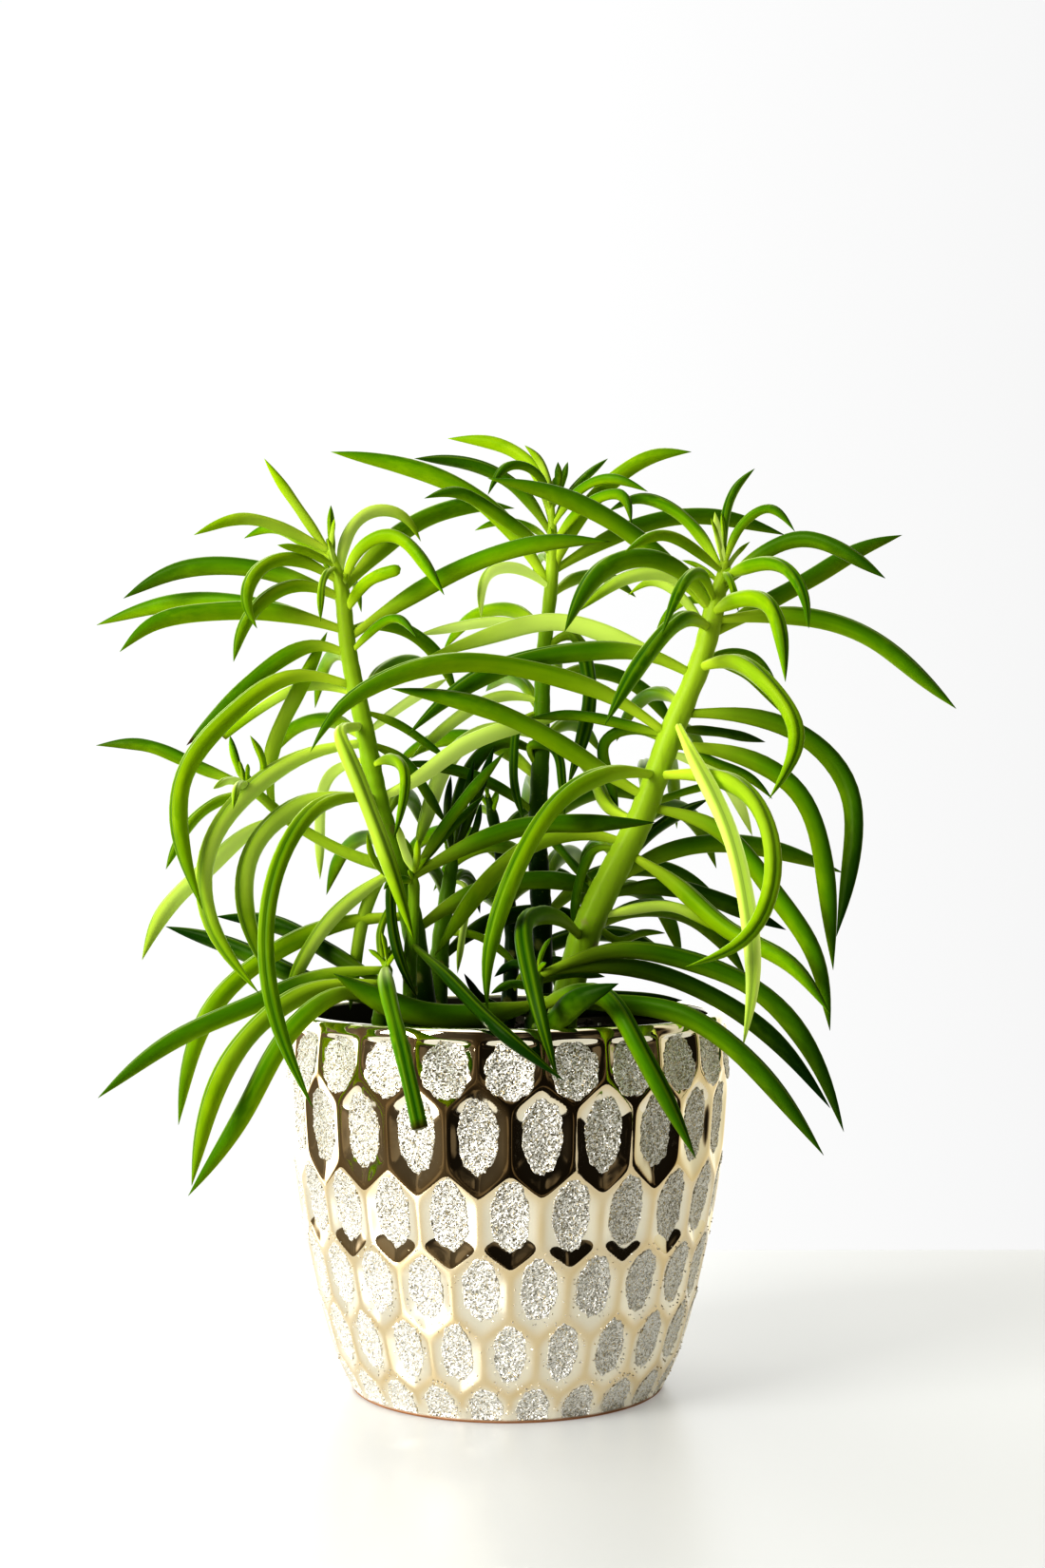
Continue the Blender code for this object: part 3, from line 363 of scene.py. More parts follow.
def unit(vectors: Array) -> Array:
    """Each row scaled to a length of 1."""
    return vectors / np.linalg.norm(vectors, axis=-1, keepdims=True)


def directions_along(line: Array) -> Array:
    """The direction of travel at each point of a line, from its two neighbours."""
    return unit(np.gradient(line, axis=0))


def line_length(line: Array) -> float:
    """Length of a line of points."""
    return float(np.linalg.norm(np.diff(line, axis=0), axis=1).sum())


def soft_noise(places: Array, size: float, seed: int, waves: int = 14) -> Array:
    """Smooth noise: the mean of sine waves of about one wavelength in seeded directions, about -1 to 1.

    Args:
        places: points, with the three coordinates on the last axis.
        size: the wavelength, in the unit of the points.
        seed: the seed of the directions and phases.
        waves: how many waves are added.

    Returns:
        One value for each point.
    """
    draw = np.random.default_rng(seed)
    ways = unit(draw.normal(size=(waves, 3))) * draw.uniform(0.7, 1.5, (waves, 1)) * FULL_TURN / size
    phases = draw.uniform(0, FULL_TURN, waves)
    return np.sin(places @ ways.T + phases).mean(-1) * math.sqrt(waves) / 2


def arched_points(root: Array, turn: float, length: float, rise: float, bend: float) -> Array:
    """A leaf as five points on an arc that leaves the root at the angle rise and turns down by bend.

    Args:
        root: where it starts.
        turn: its direction about the axis.
        length: its length.
        rise: its angle above level at the root.
        bend: how far it has turned down at the tip.

    Returns:
        Rows of (x, y, z).
    """
    shares = np.linspace(0, 1, 5)
    radius = length / bend
    out = radius * (np.sin(rise) - np.sin(rise - bend * shares))
    up = radius * (np.cos(rise - bend * shares) - np.cos(rise))
    return root + np.column_stack([out * np.cos(turn), out * np.sin(turn), up])


def outward_ways(count: int) -> tuple[Array, Array]:
    """Even angles about the axis, this many, and the level direction away from the axis at each."""
    angle = np.arange(count) * FULL_TURN / count
    return angle, np.stack([np.cos(angle), np.sin(angle), np.zeros(count)], axis=-1)


def round_rings(outward: Array, radii: Array, heights: Array) -> Array:
    """Level rings about the axis with these radii, at these heights."""
    return radii[:, None, None] * outward[None] + heights[:, None, None] * UP


def link_new(name: str, data: bpy.types.ID) -> bpy.types.Object:
    """A new object at the origin, linked to the scene.

    Args:
        name: its name.
        data: its mesh, light or camera.

    Returns:
        The object.
    """
    thing = bpy.data.objects.new(name, data)
    bpy.context.scene.collection.objects.link(thing)
    return thing


def hang(piece: bpy.types.Object, skin: bpy.types.Material, slot: Slot) -> None:
    """Dresses a piece in its skin, hangs it on the frame and reports its name and faces.

    Args:
        piece: the finished piece.
        skin: its material.
        slot: its material slot in the record; not used.
    """
    piece.data.materials.append(skin)
    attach(piece, "root")
    log.info("%s: %d faces", piece.name, len(piece.data.polygons))


@dataclass(frozen=True)
class Sight:
    """The eye that the front view is seen from, in mm: across, how far in front of the axis, and up."""

    across: float = 4.4
    away: float = 650.0
    up: float = 163.3

    def true_place(self, seen: Array) -> Array:
        """Moves places as seen along the line of sight to where they are.

        Args:
            seen: rows of (across, up, depth).

        Returns:
            Rows of (x, y, z).
        """
        reach = (self.away + seen[:, 2:3]) / self.away
        eye = np.array([self.across, self.up])
        flat = eye + (seen[:, :2] - eye) * reach
        return np.column_stack([flat[:, 0], seen[:, 2], flat[:, 1]])


SIGHT = Sight()


@dataclass(frozen=True)
class BladeRule:
    """How thick a leaf is for its length, in mm, and how it narrows to its stalk and its tip."""

    per_length: float = 0.085
    least: float = 2.6
    most: float = 5.8
    stalk_share: float = 0.45
    stalk_end: float = 0.32
    tip_start: float = 0.68
    cut_taper: float = 0.15
    rounding: float = 0.1

    def size(self, length: float) -> float:
        """Thickness of a leaf of this length."""
        return float(np.clip(self.per_length * length, self.least, self.most))

    def widths(self, shares: Array, ending: Ending = Ending.POINTED) -> Array:
        """How a leaf narrows: a slim stalk that widens, and then the ending.

        Args:
            shares: how far along, from 0 at the root to 1 at the tip.
            ending: how the leaf ends.

        Returns:
            The share of the full size at each.
        """
        stalk = self.stalk_share + (1 - self.stalk_share) * smooth_step(0.0, self.stalk_end, shares)
        if ending is Ending.CUT:
            return stalk * (1 - self.cut_taper * shares)
        if ending is Ending.ROUNDED:
            past = np.clip((shares - (1 - self.rounding)) / self.rounding, 0, 1)
            return stalk * np.sqrt(np.clip(1 - past**2, 0.0, 1.0))
        return stalk * (1 - np.clip((shares - self.tip_start) / (1 - self.tip_start), 0, 1) ** 2)


BLADE = BladeRule()


@dataclass
class Placed:
    """Every piece put down so far, as spheres along its centreline, in mm."""

    clear_of_others: float = 1.6
    clear_of_own: float = 0.1

    def __post_init__(self) -> None:
        """Starts with nothing placed."""
        self.centres = np.zeros((0, 3))
        self.radii = np.zeros(0)
        self.owner = np.zeros(0, int)
        self.is_near_root = np.zeros(0, bool)

    def add(self, centres: Array, radii: Array, owner: int, is_near_root: Array) -> None:
        """Puts down a row of spheres that belong to one owner.

        Args:
            centres: one row for each sphere.
            radii: their radii.
            owner: the number of their stem, or -1 for the rim.
            is_near_root: whether each is near a leaf's root.
        """
        self.centres = np.vstack([self.centres, centres])
        self.radii = np.concatenate([self.radii, radii])
        self.owner = np.concatenate([self.owner, np.full(len(radii), owner)])
        self.is_near_root = np.concatenate([self.is_near_root, is_near_root])

    def room(self, centres: Array, radii: Array, owner: int, is_near_root: Array) -> float:
        """How much room these spheres have, past what each neighbour is owed.

        Args:
            centres: one row for each sphere.
            radii: their radii.
            owner: the number of their stem, or -1 for the rim.
            is_near_root: whether each is near a leaf's root.

        Returns:
            The least clearance, below nought where they are too close.
        """
        apart = np.linalg.norm(centres[:, None] - self.centres[None], axis=2)
        apart -= radii[:, None] + self.radii[None]
        own = self.owner == owner
        owed = np.where(own, self.clear_of_own, self.clear_of_others)[None]
        joined = own[None] & (is_near_root[:, None] | self.is_near_root[None])
        return float(np.where(joined, np.inf, apart - owed).min())


@dataclass
class Growth:
    """Works out where every leaf of every stem lies, by the part's own rules, in mm."""

    plans: dict[str, StemPlan]
    placed: Placed = field(default_factory=Placed)
    samples: int = 25
    stem_samples: int = 60
    depth_step: float = 2.5
    depth_tries: int = 12
    near_root: float = 0.3
    rim_spheres: int = 160
    rim_middle: float = 62.3
    rim_up: float = 107.6
    rim_half_wall: float = 2.5
    spiral_seed: int = 23
    spiral_lengths: Band = (52.0, 78.0)
    spiral_rise: Band = (25.0, 50.0)
    spiral_bend: Band = (60.0, 105.0)
    spiral_foot: float = 0.16
    spiral_top: float = 0.96
    tip_shortening: float = 0.55
    turn_step: float = math.radians(6.0)
    turn_tries: int = 12

    def stem_line(self, limb: Limb) -> Array:
        """The limb's centreline as seen, foot to tip."""
        return smooth_path(limb.route, np.linspace(0, 1, self.stem_samples))

    def leaf_points(self, limb: Limb, drawn: Points, push: float) -> Array:
        """A drawn leaf's own points in true places.

        A point with no depth of its own gets one between its neighbours' by how far along it is. The root
        snaps to the limb's centreline.

        Args:
            limb: the limb that the leaf grows from.
            drawn: the points, root first.
            push: how much deeper the tip goes. The root doesn't move.

        Returns:
            Rows of (x, y, z).
        """
        line = self.stem_line(limb)
        root = np.array(drawn[0][:2])
        nearest = line[np.argmin(np.hypot(*(line[:, :2] - root).T))]
        flat = np.array([point[:2] for point in drawn])
        along = np.concatenate([[0.0], np.cumsum(np.hypot(*np.diff(flat, axis=0).T))])
        along /= along[-1]
        eased = 0.5 * along + 0.5 * along**2 * (3 - 2 * along)
        known = [0] + [i for i, point in enumerate(drawn) if i and len(point) == 3]
        depths = [nearest[2]] + [drawn[i][2] for i in known[1:]]
        depth = np.interp(eased, eased[known], depths) + push * eased
        flat[0] = nearest[:2]
        return SIGHT.true_place(np.column_stack([flat, depth]))

    def settle(self, owner: int, choices: Iterator[Array]) -> Array:
        """Puts down the first choice that is clear of everything placed, or else the roomiest.

        Args:
            owner: the number of the leaf's stem.
            choices: the leaf's points, in turn.

        Returns:
            The points of the choice put down.
        """
        shares = np.linspace(0, 1, self.samples)
        best = None
        for points in choices:
            centres = smooth_path(points, shares)
            radii = 0.5 * BLADE.size(line_length(centres)) * BLADE.widths(shares)
            room = self.placed.room(centres, radii, owner, shares < self.near_root)
            if best is None or room > best[0]:
                best = room, points, centres, radii
            if room >= 0:
                break
        self.placed.add(best[2], best[3], owner, shares < self.near_root)
        return best[1]

    def pushes(self) -> list[float]:
        """0, then ever larger moves in depth, away and towards in turn."""
        sizes = self.depth_step * np.arange(1, self.depth_tries + 1)
        return [0.0, *np.column_stack([sizes, -sizes]).ravel()]

    def spiral_choices(self, line: Array, draw: np.random.Generator, index: int,
                       plan: StemPlan) -> Iterator[Array]:
        """One leaf of a stem's golden angle spiral, then the same leaf turned ever further to either side.

        Args:
            line: the stem's centreline.
            draw: the random numbers.
            index: the leaf's number in the spiral.
            plan: the stem's plan.

        Returns:
            The leaf's points for each choice.
        """
        share = self.spiral_foot + (self.spiral_top - self.spiral_foot) * (index + 0.5) / plan.hidden_leaves
        root = line[int(share * (len(line) - 1))]
        spiral = (index * GOLDEN_ANGLE) % FULL_TURN / FULL_TURN
        turn = math.pi / 2 + math.radians(plan.hidden_spread) * (2 * spiral - 1)
        length = draw.uniform(*self.spiral_lengths) * (1 - self.tip_shortening * share**3)
        rise = math.radians(draw.uniform(*self.spiral_rise))
        bend = math.radians(draw.uniform(*self.spiral_bend))
        for step in range(self.turn_tries):
            for side in (1, -1):
                yield arched_points(root, turn + side * step * self.turn_step, length, rise, bend)

    def place_stems_and_rim(self) -> None:
        """Puts down every limb's centreline and the pot's rim as a ring of spheres."""
        for owner, plan in enumerate(self.plans.values()):
            for limb in plan.limbs:
                line = SIGHT.true_place(self.stem_line(limb))
                self.placed.add(line, np.linspace(*limb.radii, len(line)), owner, np.ones(len(line), bool))
        count = self.rim_spheres
        rim = self.rim_middle * outward_ways(count)[1] + self.rim_up * UP
        self.placed.add(rim, np.full(count, self.rim_half_wall), -1, np.zeros(count, bool))

    def grow(self) -> dict[str, list[Array]]:
        """Places every leaf of every stem: first the drawn ones, then the hidden spirals.

        Returns:
            Each leaf's own points, by stem.
        """
        self.place_stems_and_rim()
        leaves: dict[str, list[Array]] = {name: [] for name in self.plans}
        for owner, (name, plan) in enumerate(self.plans.items()):
            for limb in plan.limbs:
                for drawn in limb.leaves:
                    choices = (self.leaf_points(limb, drawn, push) for push in self.pushes())
                    leaves[name].append(self.settle(owner, choices))
        draw = np.random.default_rng(self.spiral_seed)
        for owner, (name, plan) in enumerate(self.plans.items()):
            line = SIGHT.true_place(self.stem_line(plan.limb))
            for index in range(plan.hidden_leaves):
                leaves[name].append(self.settle(owner, self.spiral_choices(line, draw, index, plan)))
        return leaves


class Shell:
    """Gathers closed surfaces into one mesh, with numbers that the finishes read at each point."""

    def __init__(self, *marks: str) -> None:
        """Starts empty.

        Args:
            marks: the names of the numbers kept at each point.
        """
        self.points: list[Array] = []
        self.marks: dict[str, list[Array]] = {mark: [] for mark in marks}
        self.quads: list[Array] = [np.zeros((0, 4), int)]
        self.triangles: list[Array] = [np.zeros((0, 3), int)]
        self.count = 0

    def _add_points(self, points: Array, marks: dict[str, Array]) -> int:
        """Adds points with their marks.

        Args:
            points: one row for each.
            marks: numbers at them, 0 where one is left out.

        Returns:
            The number of the first.
        """
        first = self.count
        self.points.append(points)
        for mark, kept in self.marks.items():
            kept.append(np.broadcast_to(np.asarray(marks.get(mark, 0.0), float).ravel(), len(points)))
        self.count += len(points)
        return first

    def add_tube(self, rings: Array, **marks: Array | float) -> None:
        """A tube through rings of points, anticlockwise seen against its direction, with a pole at each end.

        Args:
            rings: an array of rings by points by 3.
            marks: for each mark, an array of rings by points, or one number.
        """
        count, around = rings.shape[:2]
        whole = {mark: np.broadcast_to(value, (count, around)) for mark, value in marks.items()}
        first = self._add_points(rings.reshape(-1, 3), {mark: value.ravel() for mark, value in whole.items()})
        ends = np.stack([rings[0].mean(0), rings[-1].mean(0)])
        poles = self._add_points(ends, {m: np.array([v[0].mean(), v[-1].mean()]) for m, v in whole.items()})
        index = first + np.arange(count * around).reshape(count, around)
        after = np.roll(index, -1, axis=1)
        self.quads.append(np.stack([index[:-1], after[:-1], after[1:], index[1:]], axis=-1).reshape(-1, 4))
        start = np.stack([after[0], index[0], np.full(around, poles)], axis=-1)
        end = np.stack([index[-1], after[-1], np.full(around, poles + 1)], axis=-1)
        self.triangles += [start, end]

    def add_pad(self, grid: Array, under: Array) -> None:
        """A sheet on a grid that faces its row direction crossed with its column direction, closed below.

        Args:
            grid: an array of rows by columns by 3.
            under: the point below that the sheet's border closes to.
        """
        rows, columns = grid.shape[:2]
        first = self._add_points(grid.reshape(-1, 3), {})
        pole = self._add_points(under[None], {})
        index = first + np.arange(rows * columns).reshape(rows, columns)
        corners = np.stack([index[:-1, :-1], index[1:, :-1], index[1:, 1:], index[:-1, 1:]], axis=-1)
        corners = corners.reshape(-1, 4)
        border = np.concatenate([index[:, 0], index[-1, 1:], index[-2::-1, -1], index[0, -2:0:-1]])
        skirt = np.stack([np.roll(border, -1), border, np.full(len(border), pole)], axis=-1)
        self.triangles += [corners[:, [0, 1, 2]], corners[:, [0, 2, 3]], skirt]

    def build(self, name: str, smooth: bool = True) -> bpy.types.Object:
        """The finished object, with its places turned from mm into metres.

        Args:
            name: the piece's name.
            smooth: whether its faces are shaded smooth.

        Returns:
            The object, linked to the scene.
        """
        mesh = bpy.data.meshes.new(name)
        quads, triangles = np.concatenate(self.quads), np.concatenate(self.triangles)
        corners = np.concatenate([quads.ravel(), triangles.ravel()])
        starts = np.concatenate([4 * np.arange(len(quads)), 4 * len(quads) + 3 * np.arange(len(triangles))])
        mesh.vertices.add(self.count)
        mesh.loops.add(len(corners))
        mesh.polygons.add(len(starts))
        mesh.vertices.foreach_set("co", (np.concatenate(self.points) * MM).astype(np.float32).ravel())
        mesh.loops.foreach_set("vertex_index", corners.astype(np.int32))
        mesh.polygons.foreach_set("loop_start", starts.astype(np.int32))
        mesh.polygons.foreach_set("use_smooth", np.full(len(starts), smooth))
        for mark, kept in self.marks.items():
            layer = mesh.attributes.new(mark, "FLOAT", "POINT")
            layer.data.foreach_set("value", np.concatenate(kept).astype(np.float32))
        mesh.update(calc_edges=True)
        mesh.validate()
        return link_new(name, mesh)


def maths(operation: str, is_flipped: bool = False) -> "Callable[[Signal, Signal | float], Signal]":
    """A method of Signal that adds one Math node on itself and another value, in flipped order if asked.

    Args:
        operation: the node's operation.
        is_flipped: whether the other value goes first.

    Returns:
        The method.
    """

    def method(self: "Signal", other: "Signal | float") -> "Signal":
        """One Math node on the two values.

        Args:
            other: the other value.

        Returns:
            The result.
        """
        first, second = (other, self) if is_flipped else (self, other)
        node = self.board.node("ShaderNodeMath", {"operation": operation}, {0: first, 1: second})
        return Signal(self.board, node.outputs[0])

    return method


class Signal:
    """One number that changes over a surface. Arithmetic on it adds Math nodes."""

    __add__, __radd__ = maths("ADD"), maths("ADD", is_flipped=True)
    __sub__, __rsub__ = maths("SUBTRACT"), maths("SUBTRACT", is_flipped=True)
    __mul__, __rmul__ = maths("MULTIPLY"), maths("MULTIPLY", is_flipped=True)
    __truediv__, __rtruediv__ = maths("DIVIDE"), maths("DIVIDE", is_flipped=True)
    __pow__, __rpow__ = maths("POWER"), maths("POWER", is_flipped=True)
    most, least = maths("MAXIMUM"), maths("MINIMUM")

    def __init__(self, board: "Board", socket: bpy.types.NodeSocket) -> None:
        """Wraps an output socket of the board's node tree."""
        self.board = board
        self.socket = socket

    def within(self, low: float = 0.0, high: float = 1.0) -> "Signal":
        """The value, held between low and high."""
        return self.most(low).least(high)

    def step(self, low: float, high: float) -> "Signal":
        """An eased step, which falls from 1 to 0 where low is above high.

        Args:
            low: the value up to which it is 0.
            high: the value from which it is 1.

        Returns:
            The step.
        """
        node = self.board.node("ShaderNodeMapRange", {"interpolation_type": "SMOOTHSTEP"},
                               {"Value": self, "From Min": min(low, high), "From Max": max(low, high)})
        eased = Signal(self.board, node.outputs["Result"])
        return 1 - eased if low > high else eased


class Board:
    """A node tree, and short ways to add nodes to it."""

    def __init__(self, tree: bpy.types.NodeTree) -> None:
        """Keeps the tree."""
        self.tree = tree

    def put(self, socket: bpy.types.NodeSocket, value: object) -> None:
        """Links a signal or a socket to the socket, or sets its value.

        Args:
            socket: an input.
            value: a signal, an output, a colour or a plain value.
        """
        if isinstance(value, Signal):
            value = value.socket
        if isinstance(value, bpy.types.NodeSocket):
            self.tree.links.new(value, socket)
        elif isinstance(value, tuple) and len(value) == 3 and socket.type == "RGBA":
            socket.default_value = (*value, 1.0)
        else:
            socket.default_value = value

    def node(self, kind: str, settings: dict[str, object] | None = None,
             sockets: dict[str | int, object] | None = None) -> bpy.types.Node:
        """Any node.

        Args:
            kind: the node's type.
            settings: its settings, set before its sockets.
            sockets: values or links for its inputs, by name or number.

        Returns:
            The node.
        """
        made = self.tree.nodes.new(kind)
        for key, value in (settings or {}).items():
            setattr(made, key, value)
        for key, value in (sockets or {}).items():
            self.put(made.inputs[key], value)
        return made

    def parts(self, vector: bpy.types.NodeSocket) -> list[Signal]:
        """The three numbers of a vector or a colour."""
        return [Signal(self, out) for out in self.node("ShaderNodeSeparateXYZ", None, {0: vector}).outputs]

    def vector(self, operation: str, *values: object) -> bpy.types.NodeSocket:
        """One Vector Math node on one or two vectors."""
        return self.node("ShaderNodeVectorMath", {"operation": operation}, dict(enumerate(values))).outputs[0]

    def noise(self, where: bpy.types.NodeSocket, scale: float, detail: float = 2.0,
              roughness: float = 0.5) -> Signal:
        """Noise from 0 to 1.

        Args:
            where: its coordinates.
            scale: how fine it is.
            detail: how many finer layers it has.
            roughness: how strong the finer layers are.

        Returns:
            The noise.
        """
        made = self.node("ShaderNodeTexNoise", None, {
            "Vector": where, "Scale": scale, "Detail": detail, "Roughness": roughness})
        return Signal(self, made.outputs["Fac"])

    def blend(self, factor: Signal | float, first: object, second: object) -> bpy.types.NodeSocket:
        """A colour between two colours."""
        return self.node("ShaderNodeMix", {"data_type": "RGBA"}, {0: factor, 6: first, 7: second}).outputs[2]

    def coats(self, colour: object, *coats: tuple[Signal, object]) -> bpy.types.NodeSocket:
        """A colour with coats laid over it in turn.

        Args:
            colour: the colour below.
            coats: pairs of how much a coat covers and its colour.

        Returns:
            The colour on top.
        """
        for cover, coat in coats:
            colour = self.blend(cover, colour, coat)
        return colour


class Skin(Board):
    """A material's node tree with one Principled shader."""

    def __init__(self, name: str) -> None:
        """Makes the material.

        Args:
            name: its name.
        """
        self.material = bpy.data.materials.new(name)
        self.material.use_nodes = True
        super().__init__(self.material.node_tree)
        self.places = self.node("ShaderNodeTexCoord").outputs["Object"]

    def mark(self, name: str) -> Signal:
        """A number kept at the mesh's points."""
        return Signal(self, self.node("ShaderNodeAttribute", {"attribute_name": name}).outputs["Fac"])

    def normal(self) -> bpy.types.NodeSocket:
        """The surface's own normal."""
        return self.node("ShaderNodeNewGeometry").outputs["Normal"]

    def bump(self, height: Signal, depth_mm: float) -> bpy.types.NodeSocket:
        """A normal from a height of 0 to 1 that stands for this many mm."""
        sockets = {"Height": height, "Distance": depth_mm * MM, "Strength": 1.0}
        return self.node("ShaderNodeBump", None, sockets).outputs["Normal"]

    def finish(self, **sockets: object) -> bpy.types.Material:
        """Sets the shader's own sockets.

        Args:
            sockets: values by name, with underscores for spaces.

        Returns:
            The material.
        """
        shader = self.tree.nodes["Principled BSDF"]
        for name, value in sockets.items():
            self.put(shader.inputs[name.replace("_", " ")], value)
        return self.material


@dataclass(frozen=True)
class GoldGlaze:
    """Mirror bright champagne gold outside, with painted reflection of deeper gold on its ridges, dark
    painted shade in the pot and bare clay in a line at the foot.
    """

    gold: Colour = (0.95, 0.895, 0.75)
    # Painted reflection: the deeper gold laid along the ridges
    reflected_ridge_gold: Colour = (0.80, 0.62, 0.34)
    # Painted shade: the inside of the pot is near black
    inside: Colour = (0.05, 0.045, 0.03)
    clay: Colour = (0.36, 0.16, 0.06)
    ridge_share: float = 0.75
    ridge_base: float = 0.4
    polish: float = 0.045
    haze: float = 0.05
    haze_band: Band = (0.45, 0.8)
    inside_roughness: float = 0.12
    clay_roughness: float = 0.7
    unevenness_mm: float = 0.05

    def material(self) -> bpy.types.Material:
        """Makes the pot's material, which reads the marks inside, foot and ridge.

        Returns:
            The material.
        """
        skin = Skin("gold_glaze")
        inside, foot, ridge = skin.mark("inside"), skin.mark("foot"), skin.mark("ridge")
        cloud, fine = skin.noise(skin.places, 90.0), skin.noise(skin.places, 900.0, 3.0)
        # Painted reflection: the ridges are tinted deeper gold
        painted_ridge_reflection = (self.ridge_share * ridge * (self.ridge_base + cloud)).least(1.0)
        rough = self.polish + self.haze * fine.step(*self.haze_band)
        # The coat on the inside mark is painted shade
        colour = skin.coats(self.gold, (painted_ridge_reflection, self.reflected_ridge_gold), (inside, self.inside), (foot, self.clay))
        return skin.finish(
            Base_Color=colour,
            Metallic=1 - (inside + foot).least(1.0),
            Roughness=rough + self.inside_roughness * inside + self.clay_roughness * foot,
            Normal=skin.bump(skin.noise(skin.places, 160.0, 1.5), self.unevenness_mm),
        )


@dataclass(frozen=True)
class SilverGlitter:
    """Grains of silver glitter that lie at every angle, some of them painted dark as painted reflection,
    fewer of them low on the pot. In metres.
    """

    silver: Colour = (0.94, 0.925, 0.868)
    dark: Colour = (0.30, 0.26, 0.16)
    warm: Colour = (0.84, 0.68, 0.36)
    dark_band: Band = (0.5, 0.95)
    warm_band: Band = (0.86, 1.0)
    dark_heights: Band = (0.03, 0.09)
    dark_share: float = 0.6
    grains_per_metre: float = 3300.0
    tilt: float = 1.3
    metal_share: float = 0.6
    roughness: float = 0.3
    roughness_spread: float = 0.25

    def material(self) -> bpy.types.Material:
        """Makes the glitter's material: each grain has its own tilt, tone and gloss.

        Returns:
            The material.
        """
        skin = Skin("silver_glitter")
        cells = {"Vector": skin.places, "Scale": self.grains_per_metre}
        grain = skin.node("ShaderNodeTexVoronoi", None, cells).outputs["Color"]
        first, second, _ = skin.parts(grain)
        up = skin.parts(skin.places)[2]
        # Painted reflection: dark grains, more of them high on the pot than low on it
        by_height = self.dark_share + self.dark_share * up.step(*self.dark_heights)
        darkness = (first.step(*self.dark_band) * by_height).least(1.0)
        tilt = skin.vector("MULTIPLY", skin.vector("SUBTRACT", grain, (0.5, 0.5, 0.5)), (self.tilt,) * 3)
        colour = skin.coats(self.silver, (darkness, self.dark), (second.step(*self.warm_band), self.warm))
        return skin.finish(
            Base_Color=colour,
            Metallic=self.metal_share,
            Roughness=self.roughness + self.roughness_spread * second,
            Normal=skin.vector("NORMALIZE", skin.vector("ADD", skin.normal(), tilt)),
        )


